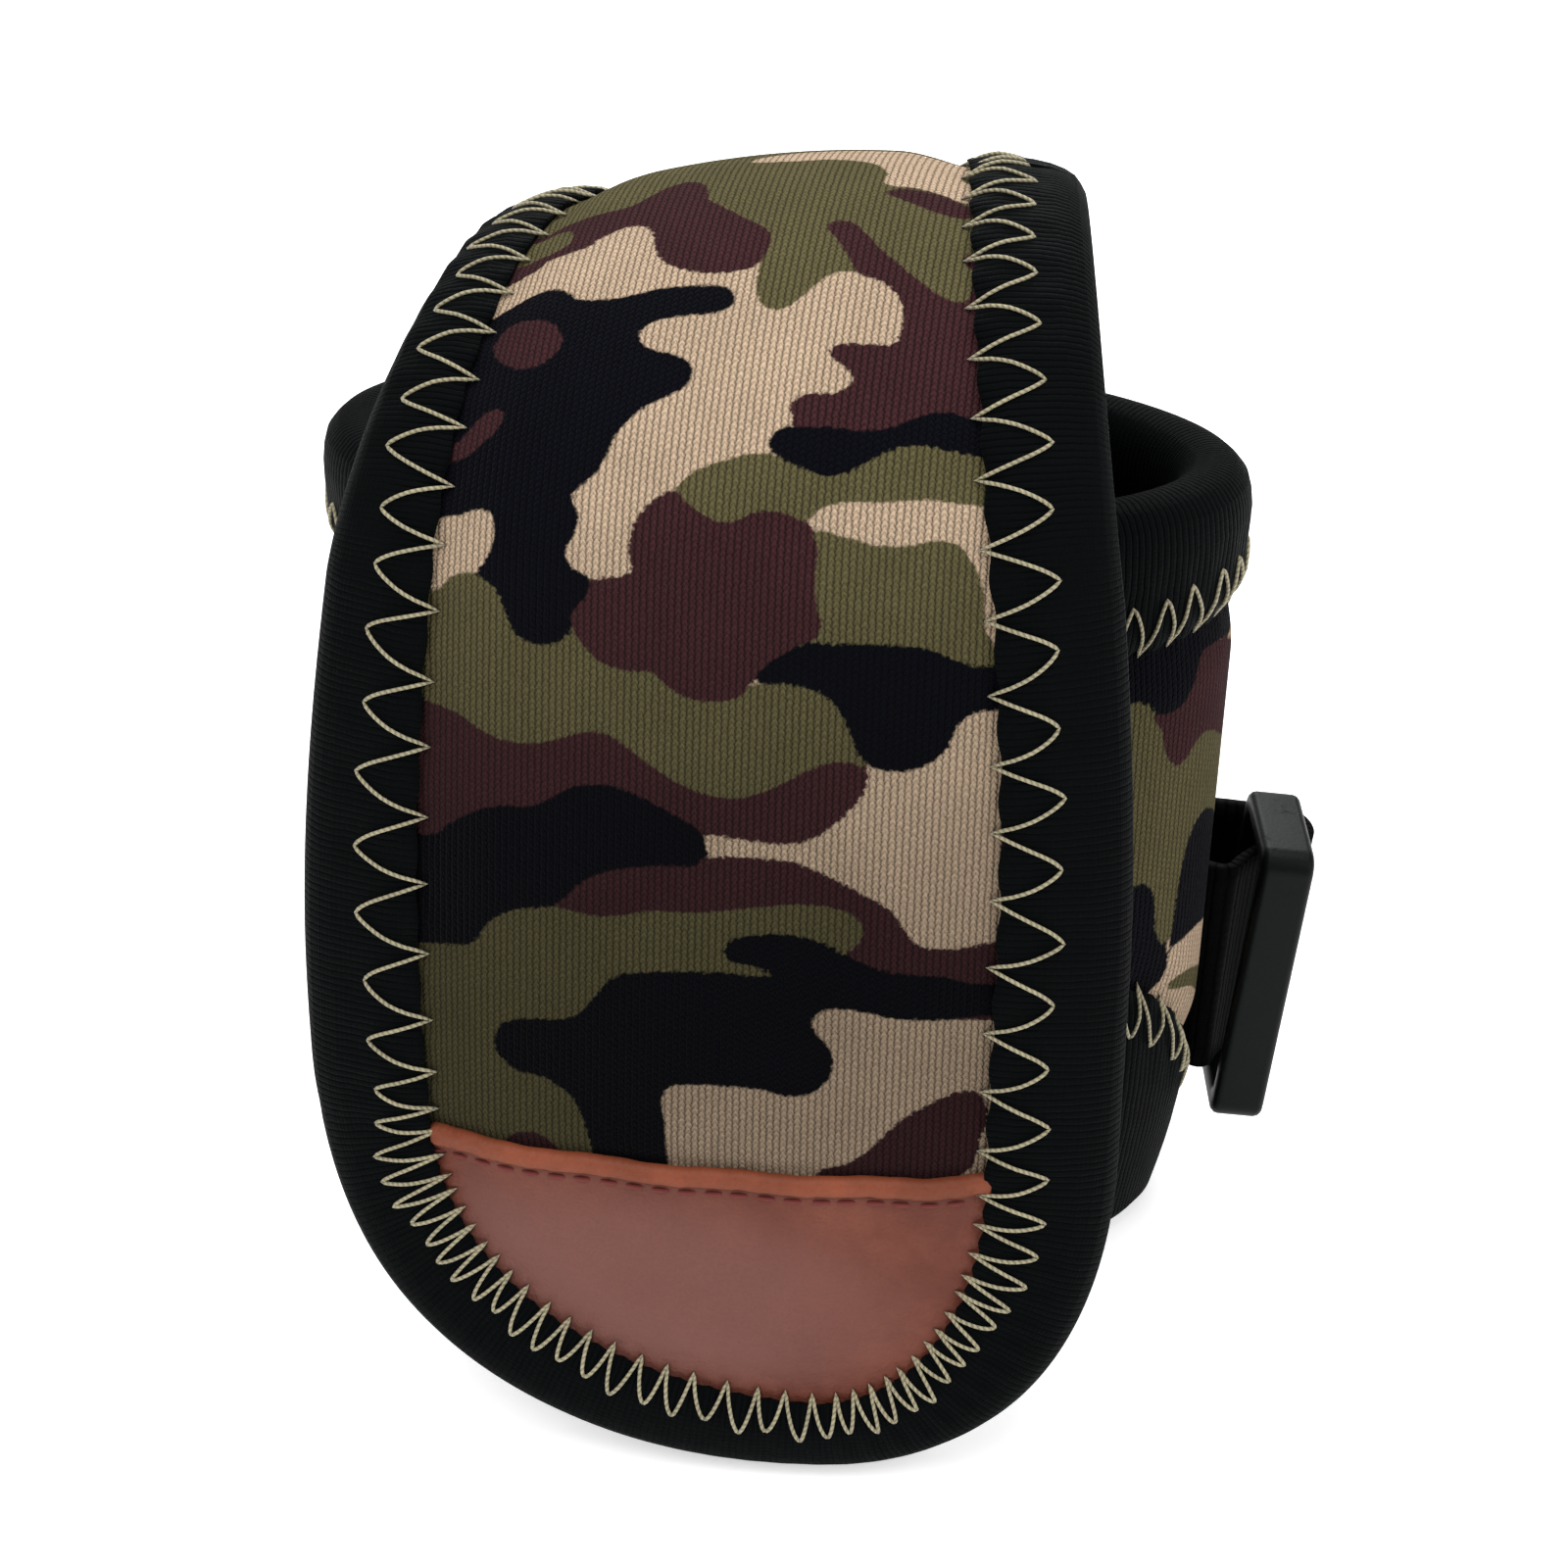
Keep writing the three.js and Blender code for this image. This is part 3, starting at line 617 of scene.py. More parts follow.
def dashes(point_at, marks, length, lift, samples=6):
    """Short stitches on a seam: point_at(distance, depth) gives the seam's points."""
    paths = []
    for mark in marks:
        distance = mark + np.linspace(-0.5, 0.5, samples) * length
        rise = lift * np.cos(np.linspace(-0.5, 0.5, samples) * math.pi) - 0.3
        points = point_at(distance, -rise)
        paths.append((points, point_at(distance, -rise - 0.5) - points))
    return paths


# ---- Camouflage -------------------------------------------------------------------------------
# Patches are smooth closed outlines of (across, along) millimetres on the cut panel, painted one
# over another on the tan ground.

STRAP_PATCHES = (
    ("tan", (
        (-45, 10), (45, 10), (45, 138), (30, 143), (15, 138), (0, 144), (-15, 139), (-30, 144),
        (-45, 139),
    )),
    # Middle of the strap.
    ("olive", (
        (-32, 83), (-25.5, 84.3), (-23.8, 85.9), (-22, 86.6), (-19.5, 86), (-17, 83), (-12, 82.5),
        (-8, 80), (0, 78), (4, 78.3), (7, 78.6), (9.5, 77.9), (11, 76.6), (12.2, 74.6),
        (12.8, 72.8), (13.6, 71.2), (10, 69), (4, 66.5), (-4, 67), (-12, 69), (-22, 70), (-32, 71),
    )),
    ("maroon", (
        (-33, 74.3), (-26.5, 74), (-23, 73.4), (-20.5, 72.2), (-18, 71.5), (-15.5, 71.6),
        (-13, 72.4), (-11, 73.1), (-9, 73.1), (-7, 72), (-5, 70.6), (-2.5, 69.2), (0, 68.3),
        (2.5, 68.1), (5, 68.8), (7.5, 70.2), (10, 71.5), (12, 71.9), (13.6, 71.4), (13.8, 69.8),
        (12.8, 68), (11, 66.2), (9, 64.8), (6.5, 64.4), (3, 64.6), (-1, 64.6), (-8, 61),
        (-20, 57), (-33, 56),
    )),
    ("maroon", (
        (-13.5, 57), (-12, 58.4), (-9, 60.2), (-6, 61.2), (-2, 61.8), (1, 62.4), (6, 62.5),
        (9, 62), (12, 60.7), (14.5, 59.4), (16.5, 58.2), (17.6, 56.6), (18.8, 55.2), (21, 54.7),
        (24, 54.8), (33, 55.8), (33, 48), (12, 50), (0, 54), (-10, 54.5),
    )),
    ("olive", (
        (-33, 51), (-22, 51.6), (-19.7, 54), (-17, 55.6), (-13, 56.3), (-9, 56), (-5, 56.9),
        (0, 57.3), (5, 58.2), (9, 58.7), (12.5, 58.3), (14.2, 56.8), (13.2, 54.6), (8, 52),
        (4, 50), (-2, 45), (-9, 40), (-9, 26), (-33, 26),
    )),
    ("black", (
        (-33, 60), (-26, 61.2), (-24, 62.6), (-21.5, 64.3), (-19, 65.3), (-16, 65.6),
        (-14, 66.6), (-12, 67.9), (-9, 68.4), (-6, 67.7), (-3, 66.3), (-0.8, 65.2), (-0.2, 64.2),
        (0, 62.6), (-1, 61.6), (-5, 61.2), (-9, 60.2), (-11.3, 58.8), (-12.8, 57.2),
        (-14.5, 56.3), (-17.5, 55.6), (-19.8, 54.2), (-21, 52.4), (-23, 51.2), (-33, 50.6),
    )),
    ("black", (
        (2, 54.2), (3.2, 55.2), (7, 55.8), (10.5, 55.3), (13.5, 53.8), (17, 52.6), (21, 52.4),
        (24.5, 51.4), (33, 50.5), (33, 48.2), (24, 48.3), (18, 48.4), (15.5, 48.8), (13, 49.2),
        (10.8, 48.9), (9.8, 47.8), (10.2, 46.4), (11.3, 45.2), (11.8, 43.8), (11.4, 42.2),
        (10.2, 40.9), (8, 40.4), (5.5, 40.9), (2, 41), (-1, 40.8), (-3, 40.3), (-3.6, 38.6),
        (-3.3, 36), (-3.1, 33), (-3.1, 27), (-10, 27), (-10, 33), (-10.8, 36), (-12, 38.2),
        (-14.5, 39.6), (-17, 39.9), (-18.8, 41.2), (-19.2, 42.8), (-18.3, 44.5), (-16, 45.2),
        (-13, 45.6), (-11, 46.5), (-9.6, 48.4), (-8.2, 50.2), (-6, 51), (-2, 51.5), (2, 51.8),
        (5, 51.6), (6.4, 52), (4.5, 52.6), (2.6, 52.9),
    )),
    # Upper front.
    ("olive", (
        (-3.5, 95), (-2.2, 96.6), (0, 97.6), (3, 98.4), (5, 98.2), (8, 97.2), (10, 96.9),
        (12, 97.6), (14, 99), (16, 99.8), (18.5, 99.9), (21, 99.6), (33, 99), (33, 95),
        (22, 95.2), (18, 95.4), (14, 95), (11, 94.9), (8.8, 94.2), (7.8, 93.2), (5, 92.4),
        (0, 91.6), (-3, 93),
    )),
    ("olive", (
        (8, 91), (11.3, 91.4), (14, 90.8), (17, 90.9), (19, 91.4), (21, 90.9), (22.4, 88.9),
        (23.2, 86.4), (23.4, 83.6), (24.5, 80.5), (20, 79), (12, 79), (8, 80),
    )),
    ("maroon", (
        (-3.8, 95.1), (-5.9, 93.7), (-6.9, 91.8), (-7.1, 89.6), (-6.7, 88.1), (-8, 87.3),
        (-10, 87), (-11.3, 86), (-12.3, 84.4), (-12.2, 82.6), (-11, 80.8), (-9.5, 79.6),
        (-7, 79), (-5, 79.1), (-3.5, 77.8), (-1.5, 76.9), (1, 76.8), (3, 77.5), (3.6, 78.8),
        (5, 80.3), (7, 81.8), (9, 82.6), (9.6, 84), (9.1, 86), (9, 88.5), (9, 90.5), (8.2, 92.2),
        (6.5, 93.4), (4, 93.7), (2, 92.9), (0.5, 92.6), (-1, 93.2), (-2.5, 94.2),
    )),
    ("black", (
        (4.2, 79.4), (6.5, 81.3), (8.5, 82.4), (10.5, 82.3), (13, 82.4), (16, 82.3), (19, 81.9),
        (21.5, 80.8), (24, 80.3), (33, 80.2), (33, 76.5), (24.8, 76.6), (22.5, 76.3),
        (21.3, 75), (20.5, 73.2), (18.5, 71.8), (16, 71.4), (13.8, 72.2), (12.8, 73.9),
        (11.8, 76.3), (10.3, 77.8), (8, 78.6), (5.5, 78.7),
    )),
    # Shoulder and arch.
    ("olive", (
        (-33, 128.8), (-14, 128.8), (-9, 130), (-5, 128), (-1, 124), (1, 121), (1.2, 118),
        (1.2, 115.5), (1.8, 113.6), (3, 112.7), (4.3, 113.3), (5.3, 114.6), (6.5, 116),
        (8, 117.2), (12, 117), (16, 115.6), (19, 115.2), (33, 115.5), (33, 150), (-33, 150),
    )),
    ("tan", (
        (-3, 137), (1, 136.3), (5, 136.5), (8.5, 135.3), (10, 133), (10, 130.8), (11.5, 130),
        (14, 130.3), (17, 130.1), (18.6, 130.6), (18.5, 133.5), (17, 136.5), (19, 139),
        (20, 142), (4, 141.5), (-2, 139.5),
    )),
    ("maroon", (
        (-9.8, 132.3), (-8.2, 133), (-6.6, 132), (-5.7, 130), (-5.4, 128.3), (-4.2, 126.9),
        (-2.3, 125.1), (0, 123.4), (1.3, 121.8), (1.4, 119.8), (0.5, 118), (-1, 117.2),
        (-3.5, 117.2), (-6, 117.9), (-7.8, 119.2), (-8.8, 121.2), (-9.5, 123.6), (-10.8, 125),
        (-12.6, 125.1), (-14.2, 124.2), (-15.8, 122.7), (-18, 122.3), (-20, 122.2), (-21, 121),
        (-33, 118), (-33, 129), (-20, 128.9), (-16, 128.7), (-12.9, 129), (-11.2, 130.7),
    )),
    ("olive", (
        (-21, 123.4), (-19, 123.3), (-17.6, 124), (-17.5, 125.6), (-18.3, 127), (-20.5, 127.6),
        (-26, 127), (-26, 124),
    )),
    ("maroon", (
        (6.2, 122.8), (6.6, 123.7), (8, 123.9), (9.6, 122.4), (11.2, 120.3), (13, 118.5),
        (15, 116.8), (17, 115.5), (18.5, 115.2), (19.6, 116), (19.8, 119), (19.4, 122), (33, 124),
        (33, 101), (22, 101.9), (19, 102.2), (16, 101.6), (14, 100.8), (10, 100.6), (7, 100.6),
        (6.2, 101.8), (5.9, 103.2), (7, 104), (8.6, 104), (10.3, 104.6), (10.8, 105.9),
        (10, 107), (8.6, 108.2), (9.3, 108.9), (12, 109), (13.9, 109.2), (14.4, 110.5),
        (14.3, 113.2), (13.5, 115), (11.8, 116.4), (9.6, 117.3), (8.5, 119.2), (7.2, 121.3),
    )),
    ("maroon", (
        (10.6, 129), (12, 129.8), (14, 130.1), (17, 130), (18.5, 129.2), (18.3, 127.4),
        (16, 126.8), (13.5, 127.3), (11.5, 128.2),
    )),
    ("black", (
        (4.3, 99.6), (5.2, 98.6), (7, 97.6), (9, 97), (11, 97.3), (13, 98.7), (15.5, 99.8),
        (18, 100), (21, 99.7), (33, 99.2), (33, 103.5), (22, 103.2), (19, 103.4), (16.5, 102.6),
        (14.5, 101.5), (12, 101), (9, 101.2), (6.5, 101.1), (4.9, 100.6),
    )),
    ("black", (
        (-33, 115), (-25, 114.4), (-22.3, 115.6), (-20, 116.6), (-18, 116.8), (-16.3, 116),
        (-15, 114.8), (-12.5, 114.4), (-10, 114.6), (-7, 115.2), (-3, 115.2), (-1.3, 114.6),
        (-0.9, 113.4), (-2, 112.5), (-5, 112.2), (-7.5, 111.8), (-8.8, 110.6), (-8.5, 109.2),
        (-7, 108.2), (-5, 107.6), (-3.7, 106.6), (-3.8, 105), (-5.5, 103.9), (-7.5, 102.8),
        (-9, 101.2), (-9.9, 99.6), (-10.3, 98.1), (-11.2, 96.6), (-13, 94.7), (-12.3, 92.8),
        (-12.5, 91.2), (-13.2, 89.7), (-12.6, 88), (-11, 87.1), (-10.9, 85.8), (-12.2, 84),
        (-12.6, 82), (-13.8, 81), (-15.7, 80.8), (-17.5, 81.6), (-18.6, 84), (-19.6, 85.8),
        (-21.1, 86.6), (-20.8, 87.2), (-19.9, 88.8), (-19.4, 90.8), (-19.8, 92.8),
        (-20.8, 93.4), (-22.5, 93.3), (-24, 92.8), (-33, 93),
    )),
    ("maroon", (
        (-22.3, 112.3), (-21, 113.5), (-18.5, 113.2), (-16.5, 112), (-15.6, 110), (-16.5, 108.2),
        (-18.5, 107.4), (-20.5, 108.2), (-22.3, 110.2),
    )),
    ("maroon", (
        (-25.5, 98.5), (-24, 101), (-22.6, 102.6), (-21.2, 103.5), (-20, 102.8), (-20.4, 101.2),
        (-21.5, 100.2), (-23.5, 98.6),
    )),
    # Foot of the panel, above the leather.
    ("maroon", (
        (11, 32.2), (13.5, 33.4), (15.2, 34.6), (17, 36.6), (19, 38.6), (21.3, 39.9),
        (23.3, 40.7), (25, 40.4), (25.8, 38.5), (25.2, 36), (24.9, 34), (24.2, 32.6), (20, 30),
        (14, 30),
    )),
    ("maroon", ((-19, 31), (-17.5, 33.2), (-15.5, 33.8), (-14, 33), (-12.8, 31), (-16, 29))),
)

CUFF_PATCHES = (
    ("tan", (
        (35, -5), (65, -5), (61, 14), (67, 28), (62, 40), (68, 52), (62, 66), (66, 78), (62, 90),
        (34, 90), (30, 80), (33, 70), (28, 58), (32, 46), (29, 33), (34, 20), (30, 8),
    )),
    ("olive", (
        (30, 66), (44, 65), (52, 58), (58, 54), (64, 52), (67, 48), (64, 44), (58, 44), (52, 47.3),
        (50.5, 48.6), (48.5, 48.8), (46.6, 46.8), (45.6, 42), (45.2, 37), (44, 35.8),
        (43, 36.5), (42.6, 39), (41.8, 42), (40.5, 43.5), (36, 43.8), (30, 44), (26, 49),
        (31, 54), (25, 60),
    )),
    ("maroon", (
        (45.5, 67), (50, 67), (56, 64), (64, 60), (67, 56), (64, 53), (56, 54.6), (52, 56),
        (49.5, 57.6), (47.3, 58.2), (45.9, 57.3), (44.5, 56), (43, 56.4), (41.8, 58.3),
        (41.2, 60.6), (40, 62.3), (41, 64),
    )),
    ("black", (
        (28, 86), (62, 86), (64, 72), (56, 67.2), (50, 67.2), (46.5, 67), (45.2, 64.6),
        (43.4, 62.4), (40.6, 62.5), (38, 64.3), (28, 65),
    )),
    ("black", (
        (45.4, 35.5), (45.5, 41), (46.4, 46.4), (48.3, 48.7), (50.5, 48.5), (53, 46.8),
        (57, 43), (62, 39), (64, 33), (60, 30.5), (55, 33.6), (50.5, 35.3), (47, 35.2),
    )),
    ("black", (
        (32, 43.5), (39.5, 43.9), (41.3, 43.3), (42.3, 41), (42.8, 37.5), (44.4, 35),
        (45, 32), (43.8, 30.2), (40, 29), (32, 29),
    )),
    ("olive", (
        (46.3, 29.6), (48.2, 30.3), (51, 29.6), (55, 27.2), (59, 23.5), (58, 22.3),
        (54, 25.4), (50.5, 28), (48, 28.8),
    )),
)


def smooth_loop(corners, steps=6):
    """Closed Catmull-Rom curve through an outline's corners."""
    p = np.array(corners, float)
    before, after, later = np.roll(p, 1, 0), np.roll(p, -1, 0), np.roll(p, -2, 0)
    points = []
    for share in np.linspace(0, 1, steps, endpoint=False):
        points.append(
            0.5 * (
                2 * p + (after - before) * share
                + (2 * before - 5 * p + 4 * after - later) * share**2
                + (3 * p - before - 3 * after + later) * share**3
            )
        )
    return np.stack(points, 1).reshape(-1, 2)


def inside_distance(points, loop, far=2.0):
    """Signed distance in millimetres to a closed outline, positive inside it."""
    low, high = loop.min(0) - far, loop.max(0) + far
    near = np.all((points > low) & (points < high), axis=1)
    result = np.full(len(points), -far)
    if not near.any():
        return result
    spot = points[near][:, None, :]
    a, b = loop[None], np.roll(loop, -1, 0)[None]
    side = b - a
    share = np.clip(((spot - a) * side).sum(-1) / np.maximum((side**2).sum(-1), 1e-9), 0, 1)
    gap = np.linalg.norm(spot - a - side * share[..., None], axis=-1).min(1)
    above = (a[..., 1] > spot[..., 1]) != (b[..., 1] > spot[..., 1])
    rise = np.where(side[..., 1] == 0, 1e-9, side[..., 1])
    crossing = a[..., 0] + (spot[..., 1] - a[..., 1]) * side[..., 0] / rise
    inside = ((spot[..., 0] < crossing) & above).sum(1) % 2 == 1
    result[near] = np.clip(np.where(inside, gap, -gap), -far, far)
    return result


def random_patches(rng, low, high, count):
    """Wandering patches for the parts of the cloth whose print isn't set out point by point."""
    patches = []
    for index in range(count):
        colour = ("olive", "maroon", "black", "olive", "tan", "black")[index % 6]
        middle = [rng.uniform(low[i], high[i]) for i in (0, 1)]
        size = rng.uniform(5.5, 9.5)
        stretch = rng.uniform(1.2, 2.1)
        turn = rng.gauss(0, 0.5)
        waves = [(n, rng.uniform(0.06, 0.2), rng.uniform(0, 6.28)) for n in (2, 3, 5)]
        outline = []
        for step in range(18):
            angle = step * math.pi / 9
            radius = size * (1 + sum(h * math.sin(n * angle + start) for n, h, start in waves))
            x, y = radius * stretch * math.cos(angle), radius * 0.75 * math.sin(angle)
            outline.append((
                middle[0] + x * math.cos(turn) - y * math.sin(turn),
                middle[1] + x * math.sin(turn) + y * math.cos(turn),
            ))
        patches.append((colour, outline))
    return patches


def camouflage(patches):
    """Returns a painter that gives each colour's field: how far inside it a point lies."""
    loops = [(colour, smooth_loop(outline)) for colour, outline in patches]

    def fields(points):
        found = {name: np.full(len(points), -2.0) for name in ("tan", "olive", "maroon", "black")}
        found["tan"] += 4.0
        for colour, loop in loops:
            inside = inside_distance(points, loop)
            for name, field in found.items():
                if name == colour:
                    np.maximum(field, inside, out=field)
                else:
                    np.minimum(field, -inside, out=field)
        return found

    return fields


def strap_camouflage():
    rng = random.Random(31)
    rest = random_patches(rng, (-26, 148), (26, 226), 26)
    return camouflage(rest + list(STRAP_PATCHES))


def cuff_camouflage():
    rng = random.Random(58)
    rest = random_patches(rng, (-112, 0), (112, 84), 84)
    return camouflage(rest + list(CUFF_PATCHES))


# ---- Shader building --------------------------------------------------------------------------


class Val:
    """A number socket. Expressions on it add Math nodes."""

    def __init__(self, recipe, socket):
        self.recipe = recipe
        self.socket = socket

    def math(self, operation, *others):
        node = self.recipe.tree.nodes.new("ShaderNodeMath")
        node.operation = operation
        for slot, value in zip(node.inputs, (self, *others)):
            if isinstance(value, Val):
                self.recipe.tree.links.new(value.socket, slot)
            else:
                slot.default_value = value
        return Val(self.recipe, node.outputs[0])

    def __add__(self, other):
        return self.math("ADD", other)

    __radd__ = __add__

    def __mul__(self, other):
        return self.math("MULTIPLY", other)

    __rmul__ = __mul__

    def __sub__(self, other):
        return self.math("SUBTRACT", other)

    def __rsub__(self, other):
        return (self * -1.0) + other

    def __truediv__(self, other):
        return self.math("DIVIDE", other)

    def __pow__(self, other):
        return self.math("POWER", other)

    def __abs__(self):
        return self.math("ABSOLUTE")

    def fract(self):
        return self.math("FRACT")

    def floor(self):
        return self.math("FLOOR")

    def sine(self):
        return self.math("SINE")

    def most(self, other):
        return self.math("MAXIMUM", other)

    def ramp(self, low, high):
        """0 below low, 1 above high, and smooth between them."""
        node = self.recipe.make("MapRange", {"interpolation_type": "SMOOTHSTEP"},
                                {"Value": self, "From Min": low, "From Max": high})
        return Val(self.recipe, node.outputs[0])


class Recipe:
    """One material's node tree round a Principled shader."""

    def __init__(self, name, fixed):
        self.material = bpy.data.materials.new(name)
        self.material.use_nodes = True
        self.tree = self.material.node_tree
        self.shader = self.tree.nodes["Principled BSDF"]
        for socket, value in fixed.items():
            self.shader.inputs[socket].default_value = value

    def make(self, kind, settings=None, values=None):
        node = self.tree.nodes.new("ShaderNode" + kind)
        for name, value in (settings or {}).items():
            setattr(node, name, value)
        for name, value in (values or {}).items():
            if isinstance(value, Val):
                value = value.socket
            if isinstance(value, bpy.types.NodeSocket):
                self.tree.links.new(value, node.inputs[name])
            else:
                node.inputs[name].default_value = value
        return node

    def chart(self):
        """The piece's own fabric millimetres: across or along an edge, and the other way."""
        uv = self.make("UVMap", {"uv_map": "fabric"})
        parts = self.make("SeparateXYZ", None, {"Vector": uv.outputs[0]})
        return Val(self, parts.outputs[0]), Val(self, parts.outputs[1])

    def attribute(self, name):
        node = self.make("Attribute", {"attribute_name": name})
        return Val(self, node.outputs["Fac"])

    def place(self, x, y, z=0.0):
        return self.make("CombineXYZ", None, {"X": x, "Y": y, "Z": z}).outputs[0]

    def object_place(self):
        return self.make("TexCoord").outputs["Object"]

    def noise(self, place, scale, detail=2.0, roughness=0.5):
        node = self.make("TexNoise", None, {
            "Vector": place, "Scale": scale, "Detail": detail, "Roughness": roughness,
        })
        return Val(self, node.outputs[0])

    def cells(self, place, scale):
        node = self.make("TexVoronoi", {"feature": "F1"}, {"Vector": place, "Scale": scale})
        return Val(self, node.outputs["Distance"])

    def mix(self, share, first, second, kind="MIX"):
        """A mix of two colours."""
        node = self.make("Mix", {"data_type": "RGBA", "blend_type": kind})
        for slot, value in ((node.inputs[0], share), (node.inputs[6], first),
                            (node.inputs[7], second)):
            if isinstance(value, Val):
                value = value.socket
            if isinstance(value, bpy.types.NodeSocket):
                self.tree.links.new(value, slot)
            else:
                slot.default_value = value
        return node.outputs[2]

    def shade(self, colour, amount):
        """A colour made darker or lighter by a number."""
        grey = self.make("CombineColor", None, {"Red": amount, "Green": amount, "Blue": amount})
        return self.mix(1.0, colour, grey.outputs[0], "MULTIPLY")

    def feed(self, socket, value):
        self.tree.links.new(value.socket if isinstance(value, Val) else value,
                            self.shader.inputs[socket])

    def bump(self, height, distance, strength=1.0):
        """Bumps of a height in millimetres."""
        node = self.make("Bump", None, {
            "Height": height, "Distance": distance * MM, "Strength": strength,
        })
        self.feed("Normal", node.outputs[0])


def opaque(colour):
    return (*colour[:3], 1.0)


def knit_height(across, along, wale, course):
    """Columns of knitted loops: each wale is a rounded rib of small chevrons."""
    column = abs((across / wale).fract() - 0.5) * 2.0
    shift = ((across / wale).floor() * 0.5).fract()
    loop = (along / course + column * 0.55 + shift).fract()
    leg = (loop * math.pi).sine()
    rib = 1.0 - column**3.0
    return rib * (0.4 + 0.6 * leg), column.ramp(0.5, 1.0) * (1.0 - leg).ramp(0.1, 0.8)


def camo_material(name, colours, wale, painted_falloff=1.0):
    recipe = Recipe(name, {
        "Specular IOR Level": 0.02, "Sheen Weight": 0.012, "Sheen Roughness": 0.5,
        "Sheen Tint": (0.9, 0.88, 0.84, 1.0),
    })
    across, along = recipe.chart()
    flat = recipe.place(across, along)
    warp = recipe.noise(flat, 1.9, 2.0) - 0.5
    height, hole = knit_height(
        across + warp * 0.3, along + warp * 0.25, wale, wale * 0.95)
    slub = recipe.noise(flat, 2.8, 3.0, 0.7)
    ragged = [(recipe.noise(recipe.place(across + shift, along), 2.2, 2.0) - 0.5) * 0.9
              for shift in (0.0, 40.0)]
    knitted = (height - 0.5) * 0.2
    winner = recipe.attribute("tan") + ragged[0] - 0.45
    colour = opaque(colours.tan)
    for field, tone, edge in (
        ("olive", colours.olive, ragged[1]), ("maroon", colours.maroon, ragged[0] * -1.0),
        ("black", colours.navy_black, ragged[1] * -1.0),
    ):
        strength = recipe.attribute(field) + edge + knitted
        colour = recipe.mix((strength - winner).ramp(-0.3, 0.3), colour, opaque(tone))
        winner = winner.most(strength)
    tone_and_painted_shade = 0.82 + 0.3 * (recipe.noise(flat, 0.13, 3.0) - 0.5) + 0.75 * (slub - 0.5)
    # Painted shade: with the last argument at 1, the print darkens towards the strap's tip, to its
    # darkest below 42 mm along. The noise and slub in the line above are random tone.
    tone_and_painted_shade = tone_and_painted_shade * (0.46 + 0.64 * along.ramp(42.0, 108.0) * painted_falloff + 0.5 * (1.0 - painted_falloff))
    # Painted shade: the knit is lighter on its raised loops and darker in the holes between them.
    colour = recipe.shade(colour, tone_and_painted_shade * (0.74 + 0.42 * height) * (1.0 - 0.32 * hole))
    recipe.feed("Base Color", colour)
    recipe.feed("Roughness", 0.95 - 0.12 * height)
    relief = height - 0.6 * hole + 0.5 * slub
    recipe.bump(relief, 0.2)
    return recipe.material


def tape_material(name, colour, rib, sheen=0.008, weave=False):
    recipe = Recipe(name, {
        "Specular IOR Level": 0.03, "Sheen Weight": sheen, "Sheen Roughness": 0.5,
        "Sheen Tint": (0.75, 0.86, 0.84, 1.0),
    })
    along, across = recipe.chart()
    flat = recipe.place(along, across)
    sway = (recipe.noise(recipe.place(along * 0.2, across * 0.5), 1.0, 2.0) - 0.5) * 0.35
    wave = ((along + sway) / rib * math.pi).sine()
    ribbed = 1.0 - (1.0 - abs(wave)) ** 2.0
    yarn = abs((across / 0.32 * math.pi).sine())
    if weave:
        step = ((along / (rib * 2)).floor() * 0.5).fract() * 2.0
        yarn = abs(((across / 1.1 + step * 0.5) * math.pi).sine())
    fuzz = recipe.noise(flat, 3.5, 3.0, 0.6)
    height = ribbed * 0.8 + yarn * 0.12 + fuzz * 0.3
    worn = recipe.noise(flat, 0.25, 3.0, 0.6)
    # Painted shade: the tape is lighter on its ribs and darker in the grooves between them. Fuzz
    # and worn are random tone.
    tone = 0.5 + 0.75 * ribbed + 0.35 * (fuzz - 0.5) + 0.5 * (worn - 0.5)
    recipe.feed("Base Color", recipe.shade(opaque(colour), tone.most(0.1)))
    recipe.feed("Roughness", 0.62 + 0.25 * fuzz)
    recipe.bump(height, 0.22)
    return recipe.material


def thread_material(name, colour):
    recipe = Recipe(name, {
        "Specular IOR Level": 0.45, "Sheen Weight": 0.3, "Sheen Roughness": 0.3,
    })
    along, around = recipe.chart()
    ply = abs(((along / 0.55 + around) * math.pi).sine())
    fine = recipe.noise(recipe.place(along, around * 2.0), 6.0, 2.0)
    worn = recipe.noise(recipe.place(along, 0.0), 0.22, 2.0)
    # Painted shade: the thread is lighter on the crowns of its plies and darker in the twist
    # between them. Fine and worn are random tone.
    tone = 0.45 + 0.5 * ply + 0.3 * (fine - 0.5) + 0.7 * (worn - 0.5)
    recipe.feed("Base Color", recipe.shade(opaque(colour), tone))
    recipe.feed("Roughness", 0.42 + 0.3 * fine)
    recipe.bump(ply + fine * 0.3, 0.07)
    return recipe.material


